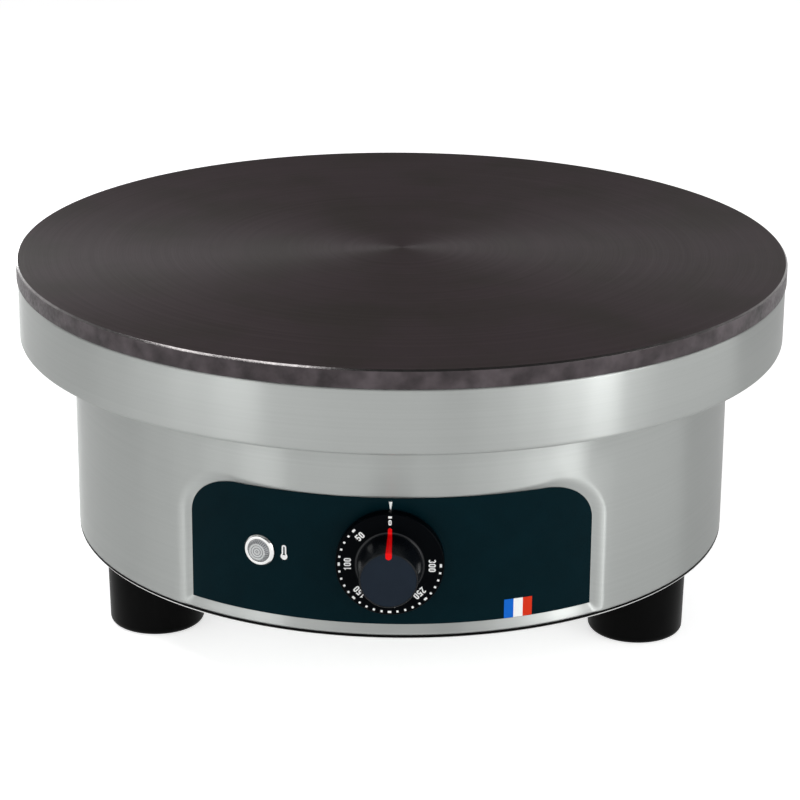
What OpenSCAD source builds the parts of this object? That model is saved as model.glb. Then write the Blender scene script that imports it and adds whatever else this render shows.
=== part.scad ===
// Electric crepe griddle: a cast-iron plate over three ring elements, in a stepped sheet-steel
// casing on three feet, with a dial thermostat and a pilot lamp in a recess pressed into its front.
// Millimetres, +Z up. The origin is on the plate's axis at the level of the table, and the
// control panel faces -Y. Angles on the casing are counted from the front, positive to the right.

/* [Griddle plate] */
// Diameter of the cooking plate
plate_d = 400; // [396:1:430]
// Height of the plate's bare rim above the band
plate_rim_h = 9.5; // [8:0.5:14]
// Chamfer round the plate's top edge
plate_chamfer = 0.8; // [0.4:0.1:1.5]
// Depth of the pad under the plate that the elements are let into
pad_h = 6; // [5:0.5:8]
// Gap between the pad and the band's lip that centres it
pad_gap = 1; // [0.5:0.1:2]
// Depth of the tapped holes for the studs, from the pad's face
stud_hole_h = 10; // [8:0.5:11]

/* [Upper band] */
// Height of the band
band_h = 33; // [31:1:45]
// How far the plate's rim stands out past the band
plate_overhang = 0.6; // [0.2:0.1:1.5]
// Thickness of the band's sheet
band_t = 1.2; // [1:0.1:1.5]
// Outside bend radius at the foot of the band
band_foot_bend = 2.6; // [2:0.1:4]
// Outside bend radius under the plate
band_top_bend = 1.6; // [1.6:0.1:2]
// Width of the lip that the plate rests on
band_lip_w = 11; // [8:0.5:14]

/* [Body shell] */
// Diameter of the lower body
body_d = 343; // [336:1:350]
// Height of the lower body
body_h = 103.1; // [98:0.5:120]
// Thickness of the body's sheet
body_t = 1; // [0.8:0.1:1.4]
// Outside bend radius of its two turned-in flanges
body_bend = 1.6; // [1.5:0.1:2.5]
// Width of the flanges
flange_w = 17; // [15:0.5:20]

/* [Pressed recess] */
// Angle that the recess floor spans round the body
recess_span = 71; // [62:0.5:76]
// Height of the recess floor
recess_h = 65.4; // [60:0.2:70]
// Height of the floor's lower edge above the body's bottom
recess_up = 6; // [5.6:0.1:9]
// Depth of the recess
recess_depth = 2.8; // [2:0.1:3.2]
// Corner radius at the top of the floor
recess_corner = 21; // [14:0.5:25]
// Width of the sloping border above the floor
recess_border = 6; // [4:0.2:7]
// Width of the sloping border beside the floor
recess_flank = 4.4; // [3:0.2:6]
// Height of the sloping border under the floor
recess_sill = 4.2; // [3:0.2:4.2]
// Thickness of the control panel
panel_t = 0.6; // [0.4:0.1:1]
// Gap between the panel's edge and the border
panel_gap = 0.3; // [0.2:0.1:0.8]

/* [Base] */
// Thickness of the base plate
base_t = 1.2; // [1:0.1:2]
// How far the base plate stays inside the body
base_inset = 0.6; // [0.3:0.1:1.5]
// Length of a ventilation slot
vent_l = 34; // [20:1:40]
// Width of a ventilation slot
vent_w = 5; // [3:0.5:6]
// Distance of the slots' middles from the axis
vent_ring_r = 92; // [85:1:95]
// Angle from slot to slot
vent_step = 8; // [7:0.5:10]

/* [Feet] */
// Height of a foot
foot_h = 34.7; // [30:0.1:45]
// Diameter of a foot at the top
foot_d = 49.8; // [40:0.2:54]
// How much smaller the foot's radius is at the bottom
foot_taper = 0.7; // [0:0.1:3]
// Rounding of the foot's bottom edge
foot_edge = 3.4; // [2:0.2:6]
// Room between the nuts of the feet and the body's flange
foot_nut_room = 6; // [3:0.5:14]
// Radius of the well in a foot's underside
foot_well_r = 10; // [9:0.5:12]
// Thickness of the foot above the well
foot_crown_h = 9; // [6:0.5:14]

/* [Ring elements] */
// Diameter of the sheath
sheath_d = 8; // [6:0.5:8.5]
// Radius of the inner ring
ring_first_r = 56; // [54:1:58]
// Room between the outer ring's bushes and the casing's opening
ring_room = 6.4; // [4:0.2:14]
// Bend radius where the ends of a ring turn down
tail_bend = 9; // [8:0.5:12]
// Distance of the tails from the middle of the gap
tail_offset = 14; // [12:0.5:18]
// How far the tails come through under the shield
tail_drop = 12; // [10:0.5:16]
// Gap round the sheath in its groove
sheath_gap = 0.2; // [0.1:0.1:0.5]

/* [Clamps and shield] */
// Width of a clamp bar
clamp_w = 18; // [14:1:24]
// Thickness of a clamp bar
clamp_t = 3; // [2:0.5:4]
// How far a clamp bar reaches past the rings
clamp_reach = 12; // [9:1:14]
// Thickness of the heat shield
shield_t = 1.2; // [1:0.1:2]
// Height of the shield's upturned rim
shield_rim_h = 14; // [10:1:18]
// Gap between the shield's rim and the band
shield_gap = 5; // [3:0.5:8]
// Free height left above the insulation
blanket_gap = 0.5; // [0.3:0.1:2]

/* [Fasteners] */
// Diameter of the plate's studs
stud_d = 8; // [6:1:8]
// Diameter of the casing's screws
casing_screw_d = 5; // [4:0.5:5]
// Diameter of the feet's screws
foot_screw_d = 6; // [5:0.5:8]
// Diameter of the small screws
small_screw_d = 4; // [3:0.5:4]
// Radial clearance of a screw in its hole
hole_gap = 0.25; // [0.15:0.05:0.4]
// Radial clearance of a screw in its nut or tapped hole
thread_gap = 0.05; // [0.02:0.01:0.1]

/* [Dial knob] */
// Height of the knob's axis above the table
dial_z = 75.9; // [73:0.1:79]
// Radius of the dial skirt
skirt_r = 26; // [22:0.5:28]
// Depth of the dial skirt
skirt_h = 5.8; // [4:0.2:7]
// Gap between the dial skirt and the panel
skirt_gap = 2.2; // [1.5:0.1:3]
// Height of the grip above the dial face
grip_h = 19.5; // [14:0.5:22]
// Radius of the grip where it meets the dial
grip_foot_r = 15.6; // [14.5:0.1:17]
// Radius of the grip at its end
grip_end_r = 13.8; // [13:0.1:14]
// Wall of the hollow knob
knob_wall = 2; // [1.5:0.1:2.5]
// Diameter of the spindle
spindle_d = 6; // [5:0.5:7]
// Radial running clearance of the spindle
spindle_gap = 0.05; // [0.02:0.01:0.09]
// Radius of the cap in the end of the grip
cap_r = 12.2; // [11.5:0.1:12.4]
// Thickness of the cap
cap_t = 1.2; // [0.8:0.1:2]

/* [Thermostat] */
// Width of the thermostat
thermostat_w = 46; // [40:1:48]
// Height of the thermostat
thermostat_h = 40; // [34:1:44]
// Depth of the thermostat
thermostat_l = 34; // [28:1:40]
// Distance between its two fixing screws
thermostat_screw_span = 28; // [26:0.5:30]
// Diameter of the sensor bulb
bulb_d = 6; // [5:0.5:7]
// Length of the sensor bulb
bulb_l = 68; // [60:1:70]
// Diameter of the capillary
capillary_d = 2; // [1.6:0.1:2.4]

/* [Pilot lamp] */
// Angle of the lamp from the front
lamp_angle = -22; // [-26:0.5:-18]
// Height of the lamp above the table
lamp_z = 74.3; // [66:0.1:84]
// Radius of the bezel
bezel_r = 8; // [7.5:0.1:9.5]
// How far the bezel stands out of the panel
bezel_h = 2.4; // [1.5:0.1:3]
// Radius of the lamp's threaded barrel
barrel_r = 6.2; // [6:0.1:6.8]
// Radius of the lens
lens_r = 5.2; // [4.5:0.1:5.3]
// Length of the lamp holder behind the barrel
holder_l = 22; // [16:1:26]

/* [Cable entry] */
// Height of the cable gland above the table
gland_z = 62; // [56:1:80]
// Radius of the gland's thread
gland_thread_r = 8; // [7.5:0.5:9]
// Distance across the flats of the gland
gland_af = 22; // [20:1:24]
// Thickness of the gland's hexagon
gland_hex_h = 5; // [4:0.5:7]
// Length of the gland's cap nut
gland_cap_h = 14; // [10:0.5:16]
// Radius of the hole for the cable
cable_hole_r = 4.6; // [3.5:0.1:5]

/* [Wiring] */
// Distance of the terminal block behind the axis
block_y = 100; // [92:1:104]
// Distance between neighbouring terminals
block_pitch = 14; // [12:0.5:16]
// Depth of the terminal block
block_l = 22; // [18:1:26]
// Height of the terminal block
block_h = 20; // [17:0.5:24]
// Diameter of a lead
lead_d = 3.2; // [2.4:0.2:3.6]
// Distance of the earth stud beside the axis
earth_x = 52; // [46:1:60]
// Distance of the limit switch beside the axis
limit_x = 62; // [55:1:70]
// Radius of the limit switch
limit_r = 9; // [7:0.5:11]

/* [Hidden] */

$fn = 96;
hex_sides = 6;
arc_steps = 6;                  // chords in a quarter-round of a turned or bent edge
reach = 60;                     // a length that surely passes the feature being cut
skin = 0.1;                     // how far a cutter runs past the face that it opens
seat_gap = 0.1;                 // room between a round surface and the flat piece against it
thread_end = 2;                 // thread that shows past a nut
hole_end = 1;                   // room left at the bottom of a tapped hole

STEEL = [0.72, 0.73, 0.71];
BRIGHT_STEEL = [0.80, 0.80, 0.78];
DARK_STEEL = [0.35, 0.35, 0.36];
CAST_IRON = [0.27, 0.25, 0.25];
BLACK = [0.05, 0.05, 0.06];
PANEL_BLACK = [0.06, 0.09, 0.11];
CAP_GREY = [0.13, 0.15, 0.19];
POINTER_RED = [0.85, 0.05, 0.05];
BRASS = [0.78, 0.62, 0.30];
COPPER = [0.75, 0.45, 0.30];
CERAMIC = [0.93, 0.91, 0.86];
FIBRE = [0.92, 0.90, 0.84];
CLEAR = [0.95, 0.97, 1.0];
LIVE_BROWN = [0.35, 0.22, 0.15];
NEUTRAL_BLUE = [0.15, 0.30, 0.60];
EARTH_GREEN = [0.45, 0.60, 0.15];

foot_angles = [-60, 60, 180];
clamp_angles = [0, 120, 240];
casing_screw_angles = [-30, 30, 90, 150, 210, 270];

// Levels, from the table up
base_top = foot_h + base_t;
body_top = base_top + body_h;
band_top = body_top + band_h;
plate_top = band_top + plate_rim_h;
pad_z = band_top - pad_h;
shield_z = body_top + band_t;
shield_top = shield_z + shield_t;
tail_z = shield_z - tail_drop;
clamp_top = pad_z - sheath_d / 2 - seat_gap;
clamp_z = clamp_top - clamp_t;

// Radii, from the axis out
plate_r = plate_d / 2;
band_r = plate_r - plate_overhang;
lip_r = band_r - band_lip_w;
pad_r = lip_r - pad_gap;
body_r = body_d / 2;
base_r = body_r - base_inset;
flange_r = body_r - flange_w;
recess_r = body_r - recess_depth;
recess_inner_r = recess_r - body_t;
panel_r = recess_r + panel_t;
shield_r = band_r - band_t - shield_gap;
bush_neck_r = sheath_d / 2 + sheath_gap + 1.6;
bush_r = bush_neck_r + 1.8;
ring_last_r = sqrt(pow(flange_r - bush_neck_r - ring_room, 2) - pow(tail_bend, 2));
ring_step = (ring_last_r - ring_first_r) / 2;
ring_radii = [ring_first_r, ring_first_r + ring_step, ring_last_r];
clamp_screw_r = ring_first_r + ring_step / 2;
stud_ring_r = ring_first_r + 1.5 * ring_step;

// Fasteners
stud_r = stud_d / 2;
stud_af = stud_d * 1.6;
stud_nut_h = stud_d * 0.6;
stud_boss_r = stud_r + 5;
casing_r = casing_screw_d / 2;
casing_af = casing_screw_d * 1.6;
casing_nut_h = casing_screw_d * 0.8;
casing_head_h = casing_screw_d * 0.55;
nut_clearance = 0.8;            // room round a casing nut
casing_ring_r = recess_inner_r - casing_af / sqrt(3) - nut_clearance;
foot_screw_r = foot_screw_d / 2;
foot_af = foot_screw_d * 1.6;
foot_ring_r = flange_r - foot_af / sqrt(3) - foot_nut_room;
foot_nut_h = foot_screw_d * 0.8;
foot_head_h = foot_screw_d * 0.6;
foot_washer_r = foot_well_r - 1;
foot_washer_t = 1.5;
foot_well_h = foot_h - foot_crown_h;
foot_top_edge = 1;
small_r = small_screw_d / 2;
small_head_h = small_screw_d * 0.55;
small_af = small_screw_d * 1.7;
small_nut_h = small_screw_d * 0.8;
flat_head_h = 1.6;
head_ratio = 1.8;               // head radius over shank radius of a pan-head screw

// Ring elements: their tails, terminal pins and the bushes in the shield
tail_neck = 0.2;                // how much thinner the cold tails are than the ring
pin_r = 2;
pin_l = 8;
pin_af = 7;
pin_nut_h = 3.2;
bush_head_h = 2;
bush_neck_h = 3;
clamp_corner = 4;
bar_w = 11;
bar_t = 1.5;
bar_corner = 2;
bar_end = 10;                   // length of a bus bar past its first and last pin

// Insulation between the shield and the clamp nuts
blanket_top = clamp_z - stud_nut_h - blanket_gap;
blanket_r = shield_r - shield_t - blanket_gap;
clearance_hole = 2;             // radial room round what passes through the insulation

// Thermostat bulb, its strap and its capillary
bulb_r = bulb_d / 2;
clip_t = 1.2;
clip_w = 14;
clip_ear = 9;
clip_screw_y = bulb_r + clip_ear / 2 + 1;
clip_screw_r = 1.5;
clip_screw_l = 6;
capillary_x = bulb_l / 2 + 7;   // where the capillary turns down through the insulation
capillary_room = 1;             // radial room round it in the shield

// Recess: the slopes of its border, and the centres of its two upper corners
recess_z = base_top + recess_up;
border_slope = recess_border / recess_depth;
flank_slope = recess_flank / recess_depth;
sill_slope = recess_sill / recess_depth;
corner_angle = recess_span / 2 - recess_corner / recess_r * 180 / PI;
corner_z = recess_z + recess_h - recess_corner;
recess_over = 0.5;              // how far the cutter stands out of the body
panel_film = 0.05;              // adhesive between the recess floor and the panel
corner_steps = 10;
straight_steps = 28;

// Knob, measured outwards from the axis of the griddle
skirt_back = panel_r + skirt_gap;
dial_face = skirt_back + skirt_h;
grip_end = dial_face + grip_h;
skirt_edge = 0.8;
grip_fillet = 1.2;
grip_edge = 1.3;
hub_r = spindle_d / 2 + 3;
spindle_r = spindle_d / 2;
spindle_flat = 0.6;             // depth of the spindle's flat
spindle_tip = grip_end - cap_t - 2.5;
spindle_hold = 16;              // length of spindle inside the thermostat
spindle_end_gap = 0.3;
spindle_hole_gap = 2;           // radial room round the spindle in the casing
press_gap = 0.02;
pointer_inner_r = 10.5;
pointer_outer_r = 18.9;
pointer_inner_w = 3.3;
pointer_outer_w = 2.6;
pointer_proud = 0.25;
pointer_deep = 0.9;

// Thermostat, fixed behind the recess floor
thermostat_face = sqrt(pow(recess_inner_r, 2) - pow(thermostat_w / 2, 2)) - seat_gap;
thermostat_corner = 3;
thermostat_screw_l = 7;
neck_r = 9;
neck_end = sqrt(pow(recess_inner_r, 2) - pow(neck_r, 2)) - seat_gap;
thermostat_back = thermostat_face - thermostat_l;
tab_w = 6.3;
tab_t = 0.8;
tab_l = 8;
tab_spread = 12;

// Pilot lamp
lens_gap = 0.1;
lens_step = 0.35;
lens_sink = 0.6;                // how far the lens stays inside the bezel
barrel_back = recess_inner_r - 9;
holder_r = barrel_r - 0.4;
holder_back = barrel_back - holder_l;
lamp_nut_r = barrel_r + 3.2;
lamp_nut_h = 3;
lamp_nut_face = sqrt(pow(recess_inner_r, 2) - pow(lamp_nut_r, 2)) - seat_gap;

// Cable gland
gland_back = body_r - 14;
gland_wall = 1;                 // how much wider the gland's bore is than the cable's hole
gland_cap_r = gland_af / 2 - 0.6;
gland_cap_edge = 3;
gland_cap_taper = 1;
gland_nut_face = sqrt(pow(body_r - body_t, 2) - pow(gland_af / sqrt(3), 2)) - seat_gap;
gland_nut_h = 4;

// Terminal block and what stands on the base and under the shield
block_ear_w = 10;
block_w = 3 * block_pitch + 4;
block_port_z = base_top + 8;
block_screw_x = (block_w + block_ear_w) / 2;
block_ear_l = block_l * 0.6;
block_ear_h = 4;
block_corner = 3;
block_screw_y = block_l / 4;    // the two screws of a terminal, from the block's middle
port_r = 2.4;
lead_gap = 0.3;                 // gap between a lead's end and its terminal
lamp_lead_d = 2.2;
earth_y = block_y - 14;
earth_h = 16;
earth_collar_r = 4;
limit_y = 20;
limit_h = 11;
limit_tab_x = 5;
limit_tab_z = 2;
lamp_tab_y = 2.6;

// Base: the slots at the rear sit further in, clear of the terminal block
rear_vent_r = 62;
function vent_r(group) = group == 180 ? rear_vent_r : vent_ring_r;

// Ring geometry: the angle from the middle of the gap to a ring's end, which puts its tail at
// tail_offset from the middle, and the tail's distance from the axis.
function ring_gap(r) = asin(tail_offset / norm([r, tail_bend])) + atan2(tail_bend, r);
function tail_r(r) = r * cos(ring_gap(r)) + tail_bend * sin(ring_gap(r));

// A point given in the frame of facing(), in the model's frame
function faced(a, p) = [p.x * sin(a) + p.y * cos(a), p.y * sin(a) - p.x * cos(a), p.z];

// Points of an arc round c, both ends included
function arc(c, r, from, to) =
    [for (i = [0 : arc_steps]) let (a = from + (to - from) * i / arc_steps)
        c + r * [cos(a), sin(a)]];

// Section of a sheet ring with its upper and lower flange turned in: outside, then inside
function channel(r, z0, z1, low_r, high_r, low_bend, high_bend, t) = concat(
    [[low_r, z0]], arc([r - low_bend, z0 + low_bend], low_bend, -90, 0),
    arc([r - high_bend, z1 - high_bend], high_bend, 0, 90), [[high_r, z1]],
    [[high_r, z1 - t]], arc([r - high_bend, z1 - high_bend], high_bend - t, 90, 0),
    arc([r - low_bend, z0 + low_bend], low_bend - t, 0, -90), [[low_r, z0 + t]]
);

// Smooth curve through the points of a route
function between(a, b, c, d, u) = ((2 * b) + (c - a) * u + (2 * a - 5 * b + 4 * c - d) * u * u
    + (3 * b - a - 3 * c + d) * u * u * u) / 2;
function smooth(p, steps) = concat(
    [for (i = [0 : len(p) - 2]) for (k = [0 : steps - 1])
        between(p[max(i - 1, 0)], p[i], p[i + 1], p[min(i + 2, len(p) - 1)], k / steps)],
    [p[len(p) - 1]]
);
function unit(v) = v / norm(v);
function headings(p) =
    [for (i = [0 : len(p) - 1]) unit(p[min(i + 1, len(p) - 1)] - p[max(i - 1, 0)])];
function carried(t, n, i = 0) = i == len(t) ? [] :
    let (m = unit(n - (n * t[i]) * t[i])) concat([m], carried(t, m, i + 1));

// Frame on the casing at an angle from the front: X out, Y to the right, Z up
module facing(a) {
    rotate([0, 0, a - 90]) children();
}

// Copies of a piece at each angle, at one distance from the axis
module round_ring(angles, r) {
    for (a = angles) facing(a) translate([r, 0, 0]) children();
}

// Cylinder along the frame's X
module rod(r, from, to) {
    translate([from, 0, 0]) rotate([0, 90, 0]) cylinder(r = r, h = to - from);
}

// Body of revolution along the frame's X, from [radius, distance] points
module turned(points) {
    rotate([0, 90, 0]) rotate_extrude() polygon(points);
}

// Hexagon nut standing on z = 0
module hex_nut(af, h, bore) {
    difference() {
        cylinder(r = af / sqrt(3), h = h, $fn = hex_sides);
        translate([0, 0, -skin]) cylinder(r = bore + thread_gap, h = h + 2 * skin);
    }
}

// Pan-head screw: the shank rises from z = 0, the head hangs below it
module pan_screw(r, l, head_h) {
    head_r = r * head_ratio;
    edge = head_h / 2;
    rotate_extrude() polygon(concat(
        [[0, l], [0, -head_h]], arc([head_r - edge, -head_h + edge], edge, -90, 0),
        [[head_r, 0], [r, 0], [r, l]]
    ));
}

// Rectangle with round corners
module round_rectangle(w, l, r) {
    square([w, l - 2 * r], center = true);
    square([w - 2 * r, l], center = true);
    for (x = [-1, 1]) for (y = [-1, 1]) translate([x * (w / 2 - r), y * (l / 2 - r)]) circle(r);
}

// Tube of a flexible lead along a route
module lead(route, d, steps = 4, sides = 8) {
    path = smooth(route, steps);
    t = headings(path);
    n = carried(t, unit(cross(t[0], abs(t[0].z) < 0.9 ? [0, 0, 1] : [1, 0, 0])));
    last = len(path) - 1;
    points = [for (i = [0 : last]) for (k = [0 : sides - 1]) let (a = 360 * k / sides)
        path[i] + d / 2 * (cos(a) * n[i] + sin(a) * cross(t[i], n[i]))];
    walls = [for (i = [0 : last - 1]) for (k = [0 : sides - 1]) let (m = (k + 1) % sides)
        [i * sides + k, (i + 1) * sides + k, (i + 1) * sides + m, i * sides + m]];
    first_cap = [for (k = [0 : sides - 1]) k];
    last_cap = [for (k = [sides - 1 : -1 : 0]) last * sides + k];
    polyhedron(points, concat([first_cap], walls, [last_cap]), convexity = 10);
}

// Centre line of one ring element with a round section: ring, two bends and two tails. The
// gap of the ring faces the frame's X.
module ring_form(r, section_r, tail_end) {
    gap = ring_gap(r);
    rotate([0, 0, gap]) rotate_extrude(angle = 360 - 2 * gap) translate([r, 0]) circle(section_r);
    for (side = [-1, 1]) {
        rotate([0, 0, side * gap]) translate([r, 0, -tail_bend])
            rotate([90 + side * 90, -90, 0]) rotate_extrude(angle = 90) translate([tail_bend, 0])
                circle(section_r);
        translate([tail_r(r), side * tail_offset, tail_end])
            cylinder(r = section_r - tail_neck, h = -tail_bend - tail_end);
    }
}

// Positions of the six element tails, in the model's frame
module at_tails() {
    facing(180) for (r = ring_radii) for (side = [-1, 1])
        translate([tail_r(r), side * tail_offset, 0]) children();
}

// Cast plate: bare rim, and under it the pad with its grooves, bosses and tapped holes
module griddle_plate() {
    color(CAST_IRON) difference() {
        union() {
            rotate_extrude() polygon([
                [0, band_top], [plate_r, band_top], [plate_r, plate_top - plate_chamfer],
                [plate_r - plate_chamfer, plate_top], [0, plate_top]
            ]);
            translate([0, 0, pad_z]) cylinder(r = pad_r, h = pad_h + skin);
            for (r = [clamp_screw_r, stud_ring_r]) round_ring(clamp_angles, r)
                translate([0, 0, clamp_top]) cylinder(r = stud_boss_r, h = pad_z - clamp_top + skin);
        }
        translate([0, 0, pad_z]) facing(180) for (r = ring_radii)
            rotate_extrude() translate([r, 0]) circle(sheath_d / 2 + sheath_gap);
        round_ring(clamp_angles, stud_ring_r) translate([0, 0, clamp_top - skin])
            cylinder(r = stud_r + thread_gap, h = pad_z + stud_hole_h - clamp_top);
        round_ring(clamp_angles, clamp_screw_r) translate([0, 0, clamp_top - skin])
            cylinder(r = casing_r + thread_gap, h = pad_z + stud_hole_h - clamp_top);
        translate([0, 0, pad_z]) facing(90) {
            rod(bulb_r + sheath_gap, -bulb_l / 2 - sheath_gap, bulb_l / 2 + sheath_gap);
            rod(capillary_d / 2 + sheath_gap, bulb_l / 2, capillary_x + capillary_d);
        }
        bulb_clip_holes();
    }
}

// One ring element with its terminal pins
module ring_element(r) {
    color(DARK_STEEL) facing(180) {
        translate([0, 0, pad_z]) ring_form(r, sheath_d / 2, tail_z - pad_z);
        for (side = [-1, 1]) translate([tail_r(r), side * tail_offset, tail_z - pin_l])
            cylinder(r = pin_r, h = pin_l + skin);
    }
}

// Three bars that press the rings into their grooves
module clamp_bars() {
    length = ring_radii[2] - ring_first_r + 2 * clamp_reach;
    color(STEEL) round_ring(clamp_angles, ring_first_r - clamp_reach + length / 2) difference() {
        translate([0, 0, clamp_z]) linear_extrude(clamp_t)
            round_rectangle(length, clamp_w, clamp_corner);
        translate([stud_ring_r - ring_radii[1], 0, clamp_z - skin])
            cylinder(r = stud_r + hole_gap, h = clamp_t + 2 * skin);
        translate([clamp_screw_r - ring_radii[1], 0, clamp_z - skin])
            cylinder(r = casing_r + hole_gap, h = clamp_t + 2 * skin);
    }
}

// Studs that hold the plate down on the band through the shield
module plate_studs() {
    bottom = shield_z - stud_nut_h - thread_end;
    color(BRIGHT_STEEL) round_ring(clamp_angles, stud_ring_r) translate([0, 0, bottom])
        cylinder(r = stud_r, h = pad_z + stud_hole_h - hole_end - bottom);
}

// Screws at the inner ends of the clamp bars
module clamp_screws() {
    color(BRIGHT_STEEL) round_ring(clamp_angles, clamp_screw_r) translate([0, 0, clamp_z])
        pan_screw(casing_r, pad_z + stud_hole_h - hole_end - clamp_z, casing_head_h);
}

// Nuts that tighten the clamp bars
module clamp_nuts() {
    color(BRIGHT_STEEL) round_ring(clamp_angles, stud_ring_r)
        translate([0, 0, clamp_z - stud_nut_h]) hex_nut(stud_af, stud_nut_h, stud_r);
}

// Nuts under the shield that pull the plate down on the band
module tie_nuts() {
    color(BRIGHT_STEEL) round_ring(clamp_angles, stud_ring_r)
        translate([0, 0, shield_z - stud_nut_h]) hex_nut(stud_af, stud_nut_h, stud_r);
}

// Holes that let the studs, the tails and the capillary through a layer
module layer_holes(z, h, stud_hole, tail_hole, capillary_hole) {
    translate([0, 0, z - skin]) {
        round_ring(clamp_angles, stud_ring_r) cylinder(r = stud_hole, h = h + 2 * skin);
        at_tails() cylinder(r = tail_hole, h = h + 2 * skin);
        translate([capillary_x, 0, 0]) cylinder(r = capillary_hole, h = h + 2 * skin);
    }
}

// Ceramic-fibre blanket lying in the shield
module insulation_blanket() {
    color(FIBRE) difference() {
        translate([0, 0, shield_top]) cylinder(r = blanket_r, h = blanket_top - shield_top);
        layer_holes(shield_top, blanket_top - shield_top, stud_r + clearance_hole,
            bush_r + clearance_hole, capillary_d / 2 + clearance_hole);
        round_ring(casing_screw_angles, casing_ring_r) translate([0, 0, shield_top - skin])
            cylinder(r = casing_r * head_ratio + clearance_hole, h = blanket_top - body_top);
    }
}

// Dished heat shield that rests on the band's floor
module heat_shield() {
    color(BRIGHT_STEEL) difference() {
        union() {
            translate([0, 0, shield_z]) cylinder(r = shield_r, h = shield_t);
            translate([0, 0, shield_z]) difference() {
                cylinder(r = shield_r, h = shield_rim_h);
                translate([0, 0, -skin]) cylinder(r = shield_r - shield_t, h = shield_rim_h + 2 * skin);
            }
        }
        layer_holes(shield_z, shield_t, stud_r + hole_gap, bush_neck_r + hole_gap,
            capillary_d / 2 + capillary_room);
        casing_holes(shield_z, shield_t);
    }
}

// Screw holes of the casing through one sheet
module casing_holes(z, t) {
    round_ring(casing_screw_angles, casing_ring_r) translate([0, 0, z - skin])
        cylinder(r = casing_r + hole_gap, h = t + 2 * skin);
}

// Ceramic bushes that carry the tails through the shield
module tail_bushes() {
    color(CERAMIC) at_tails() translate([0, 0, shield_top]) difference() {
        union() {
            cylinder(r = bush_r, h = bush_head_h);
            translate([0, 0, -shield_t - bush_neck_h])
                cylinder(r = bush_neck_r, h = shield_t + bush_neck_h + skin);
        }
        translate([0, 0, -reach / 2]) cylinder(r = sheath_d / 2 + sheath_gap, h = reach);
    }
}

// Two bars that join the tails of the three rings, one on each side of the gap
module bus_bars() {
    inner = tail_r(ring_radii[0]) - bar_end;
    outer = tail_r(ring_radii[2]) + bar_end;
    color(BRASS) facing(180) for (side = [-1, 1]) difference() {
        translate([(inner + outer) / 2, side * tail_offset, tail_z - bar_t])
            linear_extrude(bar_t) round_rectangle(outer - inner, bar_w, bar_corner);
        for (r = ring_radii) translate([tail_r(r), side * tail_offset, tail_z - bar_t - skin])
            cylinder(r = pin_r + thread_gap, h = bar_t + 2 * skin);
    }
}

// Nuts on the terminal pins
module tail_nuts() {
    color(BRASS) at_tails() translate([0, 0, tail_z - bar_t - pin_nut_h])
        hex_nut(pin_af, pin_nut_h, pin_r);
}

// Thermostat bulb in its groove under the middle of the plate
module sensor_bulb() {
    color(COPPER) translate([0, 0, pad_z]) facing(90) rod(bulb_r, -bulb_l / 2, bulb_l / 2);
}

// Strap that holds the bulb in its groove
module bulb_clip() {
    color(STEEL) difference() {
        translate([-clip_w / 2, 0, pad_z]) rotate([90, 0, 90]) linear_extrude(clip_w)
            intersection() {
                translate([-reach / 2, -reach]) square([reach, reach]);
                difference() {
                    union() {
                        circle(bulb_r + sheath_gap + clip_t);
                        translate([-bulb_r - clip_ear, -clip_t])
                            square([2 * (bulb_r + clip_ear), clip_t]);
                    }
                    circle(bulb_r + sheath_gap);
                }
            }
        bulb_clip_holes();
    }
}

// Holes for the strap's screws
module bulb_clip_holes() {
    for (y = [-1, 1]) translate([0, y * clip_screw_y, pad_z - reach / 2])
        cylinder(r = clip_screw_r + thread_gap, h = reach / 2 + clip_screw_l);
}

// Screws of the bulb's strap
module bulb_clip_screws() {
    color(BRIGHT_STEEL) for (y = [-1, 1]) translate([0, y * clip_screw_y, pad_z - clip_t])
        pan_screw(clip_screw_r, clip_screw_l + clip_t - hole_end, flat_head_h);
}

// Capillary from the bulb, down through the insulation to the top of the thermostat
module capillary() {
    top = [tab_spread, -(thermostat_face + thermostat_back) / 2,
        dial_z + thermostat_h / 2 + lead_gap];
    color(COPPER) lead([
        [bulb_l / 2 + lead_gap, 0, pad_z], [bulb_l / 2 + 3, 0, pad_z],
        [capillary_x - 1, 0, pad_z - 1.6], [capillary_x, 0, pad_z - 6],
        [capillary_x, 0, shield_z], [capillary_x, 0, shield_z - 8],
        [capillary_x + 4, -40, shield_z - 20], [capillary_x - 8, -100, shield_z - 30],
        top + [3, 4, 14], top + [0, 0, 6], top
    ], capillary_d);
}

// Band round the plate: floor, wall and the lip that carries the plate
module upper_band() {
    color(STEEL) difference() {
        rotate_extrude() polygon(channel(band_r, body_top, band_top, flange_r, lip_r,
            band_foot_bend, band_top_bend, band_t));
        casing_holes(body_top, band_t);
    }
}

// One rim of the recess or its panel, on a cylinder of radius r: its upper edge from left to
// right, then its lower edge. It reaches up and out by top and flank from the corners' centres.
function rim(r, top, flank, low) = let (
    straight = corner_angle * recess_r * PI / 180,
    edge = concat(
        [for (i = [0 : corner_steps]) let (a = 180 - 90 * i / corner_steps)
            [flank * cos(a) - straight, corner_z + top * sin(a)]],
        [for (i = [1 : straight_steps - 1])
            [straight * (2 * i / straight_steps - 1), corner_z + top]],
        [for (i = [0 : corner_steps]) let (a = 90 - 90 * i / corner_steps)
            [flank * cos(a) + straight, corner_z + top * sin(a)]]
    ))
    concat([for (p = edge) rim_point(r, p.x, p.y)], [for (p = edge) rim_point(r, p.x, low)]);
function rim_point(r, s, z) = let (a = s / recess_r * 180 / PI) [r * sin(a), -r * cos(a), z];

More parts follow.
